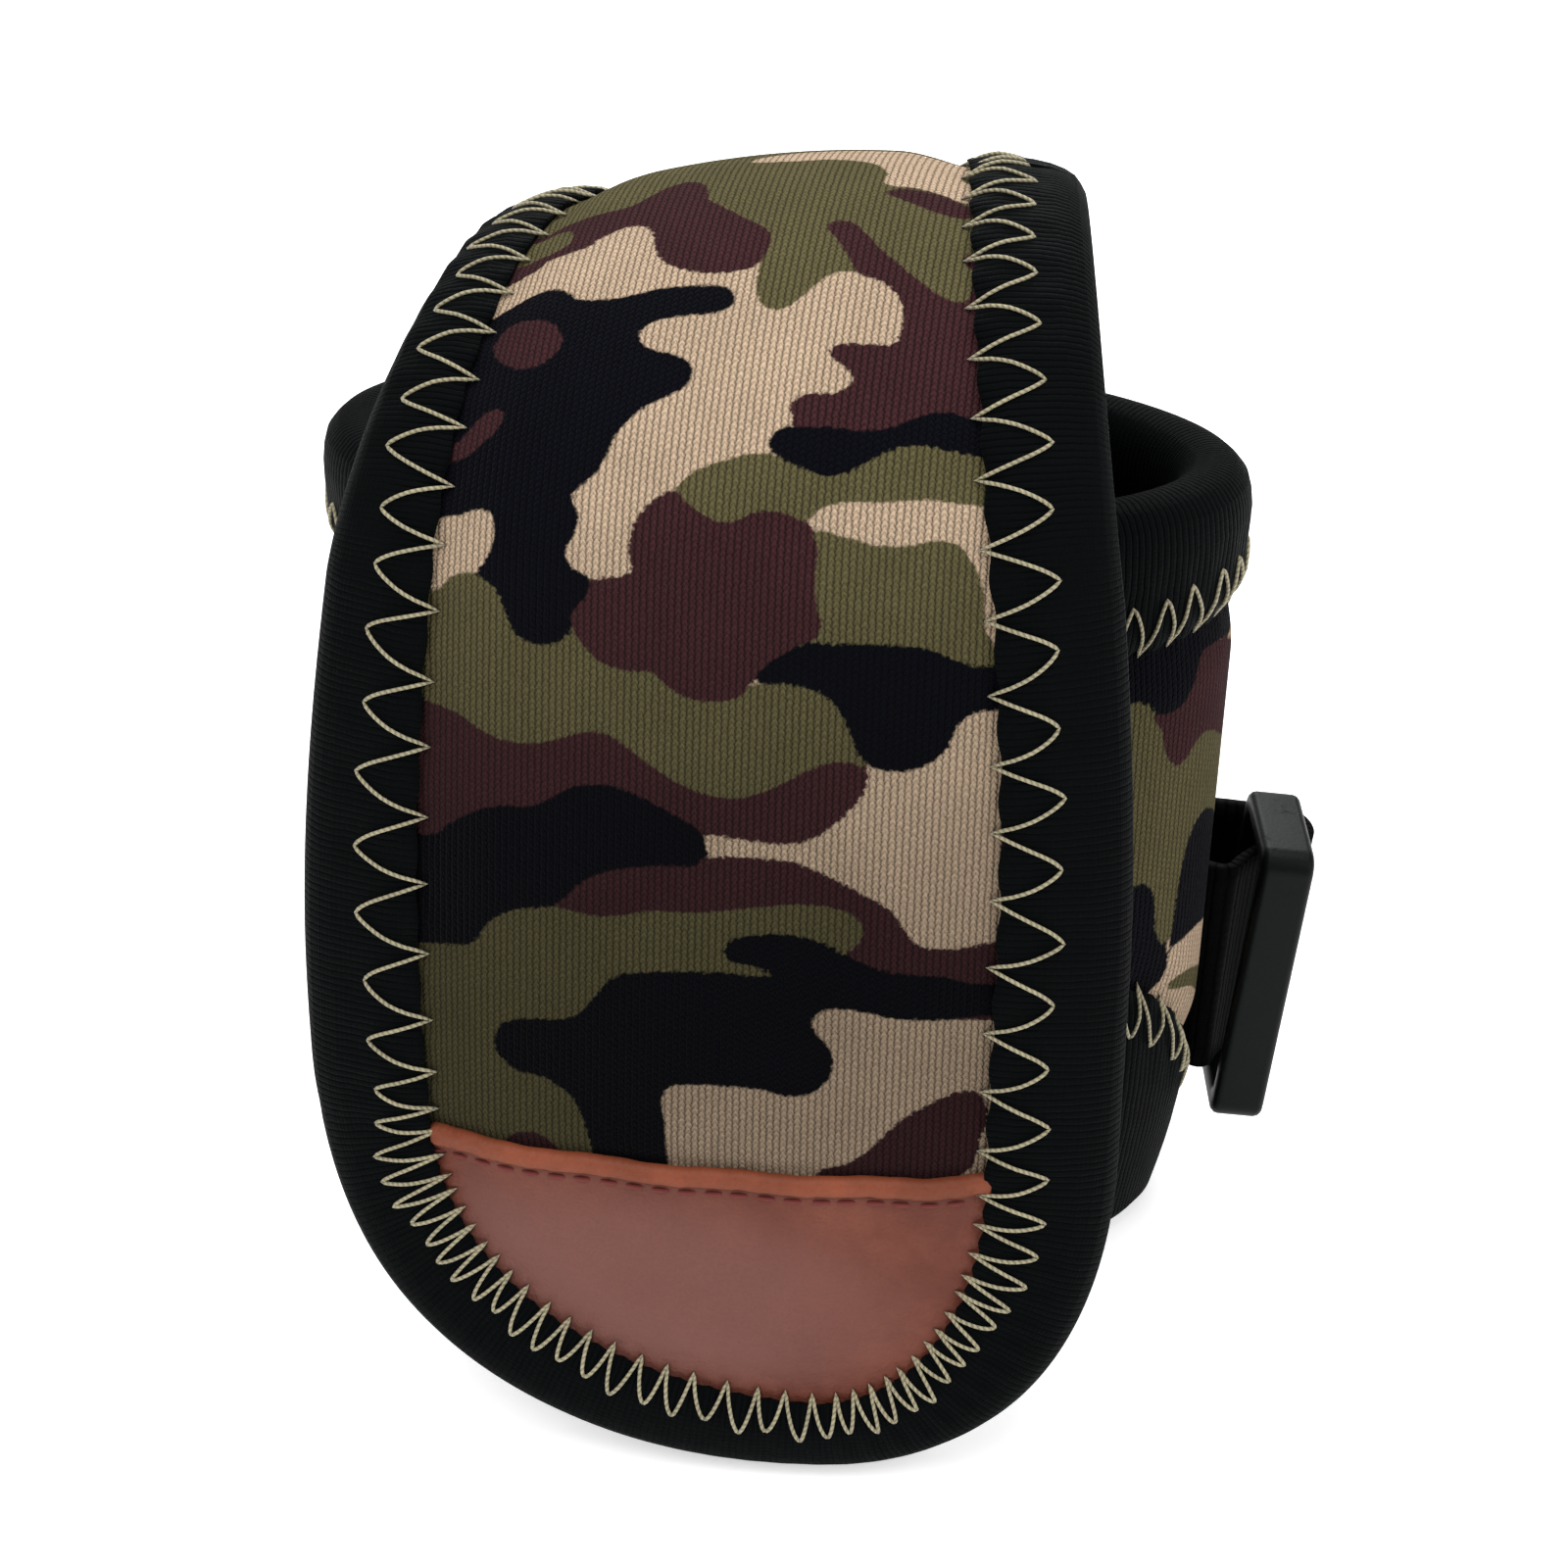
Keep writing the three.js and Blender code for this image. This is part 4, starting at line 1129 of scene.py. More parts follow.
def leather_material(name, colour, dark, painted_highlight_colour, with_painted_highlight=True):
    recipe = Recipe(name, {"Specular IOR Level": 0.16, "Coat Roughness": 0.42})
    across, along = recipe.chart()
    flat = recipe.place(across, along)
    mottle = recipe.noise(flat, 0.11, 4.0, 0.6)
    grain = recipe.cells(flat, 2.6)
    fine = recipe.noise(flat, 3.4, 4.0, 0.65)
    drawn = recipe.place(across * 0.16 + along * 0.05, along * 0.55)
    stretched = recipe.noise(drawn, 1.0, 4.0, 0.6)
    creases = (1.0 - abs(stretched - 0.5).ramp(0.0, 0.035)) * (24.0 - along).ramp(0.0, 18.0)
    base = recipe.mix(mottle.ramp(0.3, 0.75), opaque(dark), opaque(colour))
    # Painted highlight: a broad patch left of the middle, about 19 mm from the tip, is mixed
    # towards a lighter colour. The same mask also thickens the clear coat.
    if with_painted_highlight:
        off = ((across + 7.0) / 24.0) ** 2.0 + ((along - 19.0) / 9.5) ** 2.0
        gloss_and_painted_highlight = (1.0 - off).ramp(-0.7, 0.8)
        base = recipe.mix(gloss_and_painted_highlight * 0.8, base, opaque(painted_highlight_colour))
        recipe.feed("Coat Weight", gloss_and_painted_highlight * 0.1 + 0.03)
    # The creases near the tip are painted slightly darker, as shade in them. The fine noise and
    # grain are random tone.
    base = recipe.shade(base, 0.9 + 0.26 * (fine - 0.5) - 0.05 * creases + 0.08 * grain)
    recipe.feed("Base Color", base)
    recipe.feed("Roughness", 0.5 + 0.22 * (fine - 0.5) + 0.12 * creases)
    recipe.bump(fine * 0.5 + grain * 0.4 - creases * 0.2, 0.11)
    return recipe.material


def lining_material(name, colour):
    recipe = Recipe(name, {
        "Specular IOR Level": 0.2, "Sheen Weight": 0.12, "Sheen Roughness": 0.4,
    })
    across, along = recipe.chart()
    flat = recipe.place(across, along)
    height, _ = knit_height(across, along, 0.42, 0.5)
    fuzz = recipe.noise(flat, 3.0, 2.0)
    # Painted shade: the lining is lighter on its raised loops and darker between them.
    tone = 0.75 + 0.4 * height + 0.3 * (fuzz - 0.5)
    recipe.feed("Base Color", recipe.shade(opaque(colour), tone))
    recipe.feed("Roughness", 0.85 + 0.1 * fuzz)
    recipe.bump(height + fuzz * 0.2, 0.08)
    return recipe.material


def foam_material(name, colour):
    recipe = Recipe(name, {"Specular IOR Level": 0.25})
    place = recipe.object_place()
    pores = recipe.cells(place, 2200.0)
    # Painted shade: the foam is darker in its pores.
    tone = 0.7 + 0.5 * pores.ramp(0.1, 0.6)
    recipe.feed("Base Color", recipe.shade(opaque(colour), tone))
    recipe.feed("Roughness", 0.95 - 0.1 * pores)
    recipe.bump(pores, 0.15)
    return recipe.material


def grip_material(name, colour, pitch, hooks):
    recipe = Recipe(name, {"Specular IOR Level": 0.3, "Sheen Weight": 0.2})
    across, along = recipe.chart()
    flat = recipe.place(across, along)
    if hooks:
        rows = abs(((across / pitch) * math.pi).sine()) * abs(((along / pitch) * math.pi).sine())
        height = rows**1.5 + 0.2 * recipe.noise(flat, 3.0, 2.0)
    else:
        height = recipe.noise(flat, 2.4, 5.0, 0.7)
    # Painted shade: the tape is lighter where it stands high, on hook rows and pile tops, and
    # darker in the hollows between them.
    tone = 0.5 + 0.9 * height
    recipe.feed("Base Color", recipe.shade(opaque(colour), tone))
    recipe.feed("Roughness", 0.9 - 0.15 * height)
    recipe.bump(height, 0.4)
    return recipe.material


def plastic_material(name, colour):
    recipe = Recipe(name, {"Specular IOR Level": 0.08, "Coat Roughness": 0.3})
    place = recipe.object_place()
    haze = recipe.noise(place, 60.0, 3.0)
    fine = recipe.noise(place, 2600.0, 3.0, 0.6)
    scuffs = recipe.noise(place, 420.0, 5.0, 0.7).ramp(0.56, 0.7)
    recipe.feed("Base Color", recipe.shade(opaque(colour), 0.85 + 0.3 * haze + 0.18 * scuffs))
    recipe.feed("Roughness", 0.36 + 0.14 * haze + 0.16 * scuffs)
    recipe.bump(fine + scuffs * 0.4, 0.03)
    return recipe.material


def floor_material(name, colour):
    recipe = Recipe(name, {
        "Specular IOR Level": 0.0, "Roughness": 1.0, "Emission Color": (1.0, 1.0, 1.0, 1.0),
        "Emission Strength": 0.5,
    })
    place = recipe.object_place()
    drift = recipe.noise(place, 9.0, 2.0)
    recipe.feed("Base Color", recipe.shade(opaque(colour), 0.995 + 0.01 * drift))
    return recipe.material


# ---- Sizes and colours a user may change ------------------------------------------------------


def length(name, text, default):
    return bpy.props.FloatProperty(
        name=name, description=text, default=default, min=0.0, unit="LENGTH", subtype="DISTANCE"
    )


def tone(name, text, default):
    return bpy.props.FloatVectorProperty(
        name=name, description=text, default=default, min=0.0, max=1.0, size=3, subtype="COLOR"
    )


class CuffSizes(bpy.types.PropertyGroup):
    """Sizes of the tape, stitching, padding and cloth."""

    tape_width: length("Tape Width", "Width of the folded edge tape on each face", 0.012)
    tape_bulge: length("Tape Bulge", "How far the tape swells over the padding", 0.00045)
    rib_pitch: length("Rib Pitch", "Distance from one rib of the tape to the next", 0.00068)
    stitch_pitch: length("Stitch Pitch", "Distance between zigzag points on a straight", 0.0068)
    thread_radius: length("Thread Radius", "Radius of the zigzag thread", 0.00018)
    wale_pitch: length("Wale Pitch", "Distance from one column of the knit to the next", 0.00062)
    padding_swell: length("Padding Swell", "How far the padded middle stands up", 0.0009)
    hem_swell: length("Leather Fold", "How far the leather's folded edge stands up", 0.0007)
    ring_bevel: length("Ring Bevel", "Width of the ring's rounded edges", 0.0008)


class CuffColours(bpy.types.PropertyGroup):
    """Colours of the cloth, thread, leather and plastic."""

    tan: tone("Tan", "Ground colour of the print", (0.42, 0.31, 0.215))
    olive: tone("Olive", "Green patches of the print", (0.088, 0.076, 0.035))
    maroon: tone("Maroon", "Brown-red patches of the print", (0.040, 0.0145, 0.0165))
    navy_black: tone("Navy Black", "Darkest patches of the print", (0.0022, 0.0024, 0.0046))
    tape: tone("Tape", "Black ribbed edge tape", (0.0006, 0.0009, 0.0011))
    thread: tone("Thread", "Khaki zigzag thread", (0.30, 0.265, 0.16))
    red_thread: tone("Red Thread", "Thread of the leather's straight seam", (0.055, 0.009, 0.008))
    leather: tone("Leather", "Smooth leather of the tip", (0.145, 0.042, 0.025))
    leather_dark: tone("Leather Shade", "Darker mottling of the leather", (0.095, 0.024, 0.014))
    # Colour of the painted highlight laid on the middle of the leather.
    leather_painted_highlight: tone("Leather Bloom", "Polished middle of the leather", (0.13, 0.049, 0.038))
    hem: tone("Leather Edge", "Lighter folded edge of the leather", (0.215, 0.054, 0.024))
    lining: tone("Lining", "Smooth inner cloth", (0.0022, 0.0024, 0.0026))
    foam: tone("Foam", "Foam core", (0.012, 0.0125, 0.013))
    webbing: tone("Webbing", "Ring's keeper", (0.0012, 0.0014, 0.0014))
    plastic: tone("Plastic", "Moulded ring", (0.0015, 0.0023, 0.0023))
    floor: tone("Floor", "Plain pale floor", (0.93, 0.93, 0.93))


SIZES_NAME, COLOURS_NAME = "padded_cuff_sizes", "padded_cuff_colours"


def cuff_sizes():
    return getattr(bpy.context.scene, SIZES_NAME)


def look_of(kind):
    """The material of a kind of cloth or thread, built the first time it is asked for."""
    sizes, colours = cuff_sizes(), getattr(bpy.context.scene, COLOURS_NAME)
    wale, rib = sizes.wale_pitch / MM, sizes.rib_pitch / MM
    hem_shade = [0.62 * channel for channel in colours.hem]
    build, *details = {
        # The strap's print takes painted shade towards its tip. The cuff's print, given 0.0, takes
        # none.
        "printed_jersey": (camo_material, colours, wale),
        "cuff_jersey": (camo_material, colours, wale, 0.0),
        "foam_core": (foam_material, colours.foam),
        "black_lining": (lining_material, colours.lining),
        "ribbed_tape": (tape_material, colours.tape, rib),
        "webbing_weave": (tape_material, colours.webbing, 0.9, 0.0, True),
        "khaki_thread": (thread_material, colours.thread),
        "dark_red_thread": (thread_material, colours.red_thread),
        "smooth_leather": (
            leather_material, colours.leather, colours.leather_dark, colours.leather_painted_highlight),
        "leather_edge": (leather_material, colours.hem, hem_shade, colours.hem, False),
        "hook_tape": (grip_material, colours.webbing, 1.1, True),
        "loop_tape": (grip_material, colours.webbing, 1.0, False),
        "satin_plastic": (plastic_material, colours.plastic),
        "pale_floor": (floor_material, colours.floor),
    }[kind]
    return bpy.data.materials.get(kind) or build(kind, *details)


def dress(piece, kind, nodes):
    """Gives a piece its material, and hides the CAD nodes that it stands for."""
    piece.data.materials.append(look_of(kind))
    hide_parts(*nodes)


def centre_point(station):
    """A point on the strap's centre line, where a half begins or ends its bend."""
    return tuple(to_frame(strap_face(np.array([station]), np.array([0.0])))[0])


def bend_front(piece):
    centre_point(FRONT_FOLD_AT - FRONT_BEND_REACH)
    centre_point(FRONT_FOLD_AT + FRONT_BEND_REACH)
    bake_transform(piece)


def bend_back(piece):
    centre_point(BACK_FOLD_AT + BACK_BEND_BELOW)
    centre_point(BACK_FOLD_AT - BACK_BEND_ABOVE)
    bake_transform(piece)


def front_seam(sizes):
    """The front edge and its zigzag, which crowds together round the tip."""
    edge = front_edge(sizes.tape_width / MM)
    pitch = sizes.stitch_pitch / MM
    straight = JOIN_AT - SHOULDERS[-1][0]
    around = edge.length - (JOIN_AT - SHOULDERS[1][0])
    marks = (
        (0, pitch * 0.72), (35, pitch * 0.84), (60, pitch * 1.04), (straight - 8, pitch),
        (straight + 6, pitch * 0.6), (straight + 16, pitch * 0.4), (straight + 34, pitch * 0.42),
        (straight + 55, pitch * 0.5), (around - 34, pitch * 0.42), (around - 14, pitch * 0.46),
        (around + 2, pitch * 0.8), (around + 14, pitch * 0.95), (edge.length - 50, pitch),
        (edge.length - 28, pitch * 0.84), (edge.length, pitch * 0.72),
    )
    return edge, Zigzag(edge, marks, sizes.tape_bulge / MM)


def back_seam(sizes):
    edge = back_edge(sizes.tape_width / MM)
    pitch = sizes.stitch_pitch / MM
    return edge, Zigzag(edge, ((0, pitch * 0.8), (edge.length, pitch * 0.8)), sizes.tape_bulge / MM)


def rim_seam(sizes, top):
    width, bulge = sizes.tape_width / MM, sizes.tape_bulge / MM
    edge = CuffEdge(CUFF_HEIGHT, -1, width) if top else CuffEdge(0.0, 1, width, drop=20.0)
    pitch = sizes.stitch_pitch / MM * 0.86
    middle = CUFF_HALF_ROUND
    marks = ((0, pitch), (middle + 22, pitch), (middle + 34, pitch * 0.62),
             (middle + 62, pitch * 0.58), (middle + 76, pitch), (edge.length, pitch))
    return edge, Zigzag(edge, marks, bulge)


def padded_depth(edge, seam, swell, sunk=FACE_DEPTH):
    """Depth of a strap's face: low under the tape, and swollen in the middle of the panel."""

    def depth(along, across):
        gap, place = edge.nearest(along, across)
        inner = gap - edge.tape_width(place)
        wave = np.cos(2 * math.pi * seam.phase(place))
        dimple = 0.3 * np.exp(-(((inner - 0.4) / 1.1) ** 2)) * (0.5 + 0.5 * wave)
        return sunk - swell * smooth((inner + 0.3) / 7) + dimple

    return depth


def foam_layer(half, reach, stations, spans, parts):
    """The foam of one half of the strap, standing for the foam of the named CAD parts."""
    foam = strap_layer(
        f"strap_{half}_foam", reach, stations, spans, FOAM_DEPTH, inset=FOAM_INSET)
    dress(thicken(foam, FOAM_THICKNESS), "foam_core", [f"{part}_foam_core" for part in parts])
    return foam


def lining_layer(half, reach, stations, spans, parts):
    lining = strap_layer(
        f"strap_{half}_lining", reach, stations, spans, LINING_DEPTH + LINING_THICKNESS,
        facing=-1, inset=LINING_INSET)
    dress(thicken(lining, LINING_THICKNESS), "black_lining",
          [f"{part}_lining" for part in parts])
    return lining


# ---- Operators --------------------------------------------------------------------------------


class PaddedCuffOperator:
    bl_options = {"REGISTER", "UNDO"}


class PADDED_OT_strap_front(PaddedCuffOperator, bpy.types.Operator):
    """Build the strap's front half: printed face, foam and lining"""

    bl_idname = "padded.strap_front"
    bl_label = "Strap Front"

    def execute(self, context):
        sizes = cuff_sizes()
        edge, seam = front_seam(sizes)
        swell = sizes.padding_swell / MM
        even = padded_depth(edge, seam, swell)

        def depth(along, across):
            return even(along, across) + 0.5 * np.exp(-(((along - HEM_HIGH - 0.2) / 0.8) ** 2))

        face = strap_layer(
            "strap_front_face", tip_reach, (HEM_LOW + 0.6, JOIN_AT), (112, 208), depth,
            fields=strap_camouflage(),
        )
        dress(thicken(face, FACE_THICKNESS), "printed_jersey", ["tab_camo_panel"])
        foam = foam_layer("front", tip_reach, (2.4, JOIN_AT), (26, 70), ["tab"])
        lining = lining_layer("front", tip_reach, (2.2, JOIN_AT), (34, 90), ["tab"])
        for piece in (face, foam, lining):
            bend_front(piece)
        return {"FINISHED"}


class PADDED_OT_strap_back(PaddedCuffOperator, bpy.types.Operator):
    """Build the strap's back half, down to its sewn end on the cuff"""

    bl_idname = "padded.strap_back"
    bl_label = "Strap Back"

    def execute(self, context):
        sizes = cuff_sizes()
        edge, seam = back_seam(sizes)
        swell = sizes.padding_swell / MM
        last = STRAP_LENGTH - 2.2
        face = strap_layer(
            "strap_back_face", end_reach, (JOIN_AT, last), (84, 140),
            padded_depth(edge, seam, swell), fields=strap_camouflage(),
        )
        dress(thicken(face, FACE_THICKNESS), "printed_jersey",
              ["bridge_camo_panel", "anchor_camo_panel"])
        parts = ["bridge", "anchor"]
        foam = foam_layer("back", end_reach, (JOIN_AT, last - 0.2), (22, 46), parts)
        lining = lining_layer("back", end_reach, (JOIN_AT, last), (30, 60), parts)
        for piece in (face, foam, lining):
            bend_back(piece)
        return {"FINISHED"}


class PADDED_OT_strap_edges(PaddedCuffOperator, bpy.types.Operator):
    """Bind the strap's edges with ribbed tape and sew it on with zigzag stitching"""

    bl_idname = "padded.strap_edges"
    bl_label = "Strap Tape and Stitching"

    def execute(self, context):
        sizes = cuff_sizes()
        bulge = sizes.tape_bulge / MM
        radius = sizes.thread_radius / MM
        halves = (
            ("front", front_seam(sizes), bend_front, ["tab_binding"], ["tab_zigzag"]),
            ("back", back_seam(sizes), bend_back,
             ["bridge_binding_left", "bridge_binding_right", "anchor_binding"],
             ["bridge_zigzag_left", "bridge_zigzag_right", "anchor_zigzag"]),
        )
        for half, (edge, seam), bend, taped, sewn in halves:
            tape = folded_tape(f"strap_{half}_tape", edge, seam, bulge, closed=False)
            dress(tape, "ribbed_tape", taped)
            bend(tape)
            thread = tubes(f"strap_{half}_zigzag", [seam.path(random.Random(7))], radius)
            dress(thread, "khaki_thread", sewn)
            bend(thread)
        return {"FINISHED"}


class PADDED_OT_leather_tip(PaddedCuffOperator, bpy.types.Operator):
    """Build the leather facing of the strap's tip, its folded edge and its straight seam"""

    bl_idname = "padded.leather_tip"
    bl_label = "Leather Tip"

    def execute(self, context):
        sizes = cuff_sizes()
        edge, seam = front_seam(sizes)
        swell = sizes.padding_swell / MM
        facing = strap_layer(
            "leather_facing", tip_reach, (2.4, HEM_LOW + 0.5), (120, 64),
            padded_depth(edge, seam, swell, FACE_DEPTH), inset=2.0)
        dress(thicken(facing, FACE_THICKNESS), "smooth_leather", ["leather_tip"])
        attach(facing, "strap_tab")

        face_depth = padded_depth(edge, seam, swell)
        inset = sizes.tape_width / MM - 0.6
        rise = sizes.hem_swell / MM
        section = np.array((
            (0.0, 0.25), (0.06, 0.02), (0.2, -rise), (0.5, -rise * 1.15), (0.8, -rise),
            (0.95, -rise * 0.5), (1.0, 0.1), (0.98, 0.7),
        ))

        def hem_spot(u, v):
            share = np.interp(v, np.linspace(0, 1, len(section)), section[:, 0])
            along = lerp(HEM_LOW, HEM_HIGH, share)
            across = lerp(tip_reach(along, inset, -1), tip_reach(along, inset, 1), u)
            along = along + 0.12 * np.sin(across * 0.5) + 0.03 * np.sin(across * 1.7 + 1)
            return along, across

        def hem_place(u, v):
            along, across = hem_spot(u, v)
            lift = np.interp(v, np.linspace(0, 1, len(section)), section[:, 1])
            lift = lift * (1 + 0.07 * np.sin(across * 2.7)) + 0.02 * np.sin(across * 5.3)
            return strap_point(along, across, face_depth(along, across) + lift)

        def hem_chart(u, v):
            along, across = hem_spot(u, v)
            return across, along

        hem = finish_mesh(draft_grid(230, 14), "leather_folded_edge", hem_place, hem_chart)
        dress(thicken(hem, HEM_THICKNESS), "leather_edge", ["leather_hem"])
        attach(hem, "strap_tab")

        def seam_point(across, depth):
            along = HEM_LOW - LEATHER_SEAM_DROP + 0.1 * np.sin(across * 0.5)
            return strap_point(along, across, face_depth(along, across) + depth)

        rng = random.Random(12)
        even = np.arange(-LEATHER_SEAM_REACH, LEATHER_SEAM_REACH, LEATHER_SEAM_PITCH)
        marks = [mark + rng.uniform(-0.12, 0.12) for mark in even]
        stitches = tubes("leather_stitching", dashes(seam_point, marks, 2.1, 0.42), 0.24)
        dress(stitches, "dark_red_thread", ["leather_stitch"])
        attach(stitches, "strap_tab")
        return {"FINISHED"}


class PADDED_OT_grip_patches(PaddedCuffOperator, bpy.types.Operator):
    """Build the hook patch under the tip and the loop patch on the cuff's front"""

    bl_idname = "padded.grip_patches"
    bl_label = "Hook and Loop Patches"

    def execute(self, context):
        sizes = cuff_sizes()
        hooks = strap_layer(
            "hook_patch", tip_reach, (16.5, 37.5), (60, 30), STACK_DEPTH - 0.1, facing=-1,
            inset=sizes.tape_width / MM + 2)
        dress(thicken(hooks, 0.9), "hook_tape", ["tab_hook_patch"])
        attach(hooks, "strap_tab")
        reach = 19.0
        loops = cuff_layer("loop_patch", (34, 62), (60, 40), -0.35, arounds=(-reach, reach))
        dress(thicken(loops, 0.9), "loop_tape", ["cuff_loop_patch"])
        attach(loops, "cuff")
        return {"FINISHED"}


class PADDED_OT_cuff_wall(PaddedCuffOperator, bpy.types.Operator):
    """Build the cuff's wall: printed face, foam, lining and the tape over its inner seam"""

    bl_idname = "padded.cuff_wall"
    bl_label = "Cuff Wall"

    def execute(self, context):
        sizes = cuff_sizes()
        swell = sizes.padding_swell / MM
        seams = [rim_seam(sizes, True), rim_seam(sizes, False)]

        def depth(around, height):
            sunk, lift = FACE_DEPTH + 0 * around, 1.0
            for (edge, seam), inset in zip(seams, (CUFF_HEIGHT - height, height)):
                distance = around + CUFF_HALF_ROUND
                inner = inset - edge.tape_width(distance)
                wave = np.cos(2 * math.pi * seam.phase(distance))
                sunk = sunk + 0.3 * np.exp(-(((inner - 0.4) / 1.1) ** 2)) * (0.5 + 0.5 * wave)
                lift = np.minimum(lift, smooth((inner + 0.3) / 7))
            return sunk - swell * lift

        face = cuff_layer("cuff_face", (PANEL_INSET, CUFF_HEIGHT - PANEL_INSET), (256, 98), depth,
                          fields=cuff_camouflage())
        dress(thicken(face, FACE_THICKNESS), "cuff_jersey", ["cuff_camo_panel"])
        foam = cuff_layer("cuff_foam", (FOAM_INSET, CUFF_HEIGHT - FOAM_INSET), (96, 24), FOAM_DEPTH)
        dress(thicken(foam, FOAM_THICKNESS), "foam_core", ["cuff_foam_core"])
        lining = cuff_layer(
            "cuff_inner_lining", (LINING_INSET, CUFF_HEIGHT - LINING_INSET), (140, 40),
            LINING_DEPTH + LINING_THICKNESS, facing=-1)
        dress(thicken(lining, LINING_THICKNESS), "black_lining", ["cuff_lining"])
        half = 9.6
        cover = cuff_layer(
            "inner_seam_cover", (12.6, CUFF_HEIGHT - 12.6), (10, 60), STACK_DEPTH - 0.35,
            facing=-1, arounds=(CUFF_HALF_ROUND - half, CUFF_HALF_ROUND + half))
        dress(thicken(cover, 0.5), "ribbed_tape", ["cuff_seam_tape"])
        for piece in (face, foam, lining, cover):
            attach(piece, "cuff")
        return {"FINISHED"}


class PADDED_OT_cuff_edges(PaddedCuffOperator, bpy.types.Operator):
    """Bind the cuff's rim and foot with ribbed tape and zigzag stitching"""

    bl_idname = "padded.cuff_edges"
    bl_label = "Cuff Tape and Stitching"

    def execute(self, context):
        sizes = cuff_sizes()
        bulge = sizes.tape_bulge / MM
        radius = sizes.thread_radius / MM
        for name, node, top in (("rim", "top", True), ("foot", "bottom", False)):
            edge, seam = rim_seam(sizes, top)
            tape = folded_tape(
                f"cuff_{name}_tape", edge, seam, bulge, closed=True, facing=1 if top else -1)
            dress(tape, "ribbed_tape", [f"cuff_{node}_binding"])
            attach(tape, "cuff")
            thread = tubes(f"cuff_{name}_zigzag", [seam.path(random.Random(3))], radius)
            dress(thread, "khaki_thread", [f"cuff_{node}_zigzag"])
            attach(thread, "cuff")
        return {"FINISHED"}


class PADDED_OT_anchor_seams(PaddedCuffOperator, bpy.types.Operator):
    """Sew the strap's end to the cuff's back with two straight seams"""

    bl_idname = "padded.anchor_seams"
    bl_label = "Anchor Seams"

    def execute(self, context):
        sizes = cuff_sizes()
        edge, seam = back_seam(sizes)
        face_depth = padded_depth(edge, seam, sizes.padding_swell / MM)
        for name, drop in (("upper", 8.5), ("lower", 14.5)):
            station = BACK_FOLD_AT + drop

            def seam_point(across, depth, station=station):
                along = station + 0 * across
                return strap_point(along, across, face_depth(along, across) + depth)

            reach = half_width_at(station) - sizes.tape_width / MM - 2
            marks = np.arange(-reach, reach, 3.0)
            stitches = tubes(f"anchor_seam_{name}", dashes(seam_point, marks, 2.3, 0.4), 0.26)
            dress(stitches, "khaki_thread", [f"anchor_stitch_{name}"])
            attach(stitches, "cuff")
        return {"FINISHED"}


RING_LOW, RING_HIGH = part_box("side_ring")
RING_CENTRE = np.array([(RING_LOW[i] + RING_HIGH[i]) / 2 for i in range(3)])
RING_SIZE = (5.3, 15.0, 32.0)
RING_BAR = 3.4
RING_OUTER_CORNER, RING_INNER_CORNER = 2.2, 1.0
# The keeper lies this high on the wall, with its end on top of it, and leans with the ring
# past the point that it is sewn to.
KEEPER_THICKNESS, KEEPER_LIFT, KEEPER_SECOND_LAYER, KEEPER_SEWN_TO = 1.3, 0.1, 1.9, 40
TACK_PITCH, TACK_INSET, TACK_HALF_WIDTH, TACK_SLANT, TACK_RADIUS = 0.85, 2.2, 1.2, 0.4, 0.24
RING_YAW, RING_LEAN = math.radians(9), math.radians(6.5)


class PADDED_OT_ring(PaddedCuffOperator, bpy.types.Operator):
    """Build the moulded ring as a rounded rectangular loop"""

    bl_idname = "padded.ring"
    bl_label = "Side Ring"

    def execute(self, context):
        sizes = cuff_sizes()
        bm = bmesh.new()
        bmesh.ops.create_cube(bm, size=1.0)
        bmesh.ops.scale(bm, verts=bm.verts, vec=[side * MM for side in RING_SIZE])
        bm.faces.ensure_lookup_table()
        flanks = [face for face in bm.faces if abs(face.normal.x) > 0.9]
        bmesh.ops.inset_individual(bm, faces=flanks, thickness=RING_BAR * MM)
        rims = [edge for face in flanks for edge in face.edges]
        bmesh.ops.delete(bm, geom=flanks, context="FACES_ONLY")
        bmesh.ops.bridge_loops(bm, edges=rims)
        lying = [edge for edge in bm.edges if across_thickness(edge)]
        outer = [edge for edge in lying if abs(edge.verts[0].co.y) > RING_SIZE[1] * 0.45 * MM]
        inner = [edge for edge in lying if edge not in outer]
        for edges, corner in ((outer, RING_OUTER_CORNER), (inner, RING_INNER_CORNER)):
            bmesh.ops.bevel(bm, geom=edges, offset=corner * MM, segments=6, profile=0.5,
                            affect="EDGES", material=-1)
        sharp = [edge for edge in bm.edges if edge.calc_face_angle(0.0) > 1.2]
        bmesh.ops.bevel(bm, geom=sharp, offset=sizes.ring_bevel, segments=3, profile=0.5,
                        affect="EDGES", material=-1)
        turn = Matrix.Rotation(RING_YAW, 3, "Z") @ Matrix.Rotation(RING_LEAN, 3, "Y")
        bmesh.ops.rotate(bm, verts=bm.verts, cent=(0, 0, 0), matrix=turn)
        bmesh.ops.translate(bm, verts=bm.verts, vec=Vector(RING_CENTRE))
        bmesh.ops.recalc_face_normals(bm, faces=bm.faces)
        mesh = bpy.data.meshes.new("moulded_ring")
        bm.to_mesh(mesh)
        bm.free()
        for polygon in mesh.polygons:
            polygon.use_smooth = True
        ring = bpy.data.objects.new("moulded_ring", mesh)
        context.scene.collection.objects.link(ring)
        weighted = ring.modifiers.new("shading", "WEIGHTED_NORMAL")
        weighted.keep_sharp = True
        dress(ring, "satin_plastic", ["side_ring"])
        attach(ring, "side_ring")
        return {"FINISHED"}


def across_thickness(edge):
    run = edge.verts[1].co - edge.verts[0].co
    return abs(run.x) > 0.9 * run.length


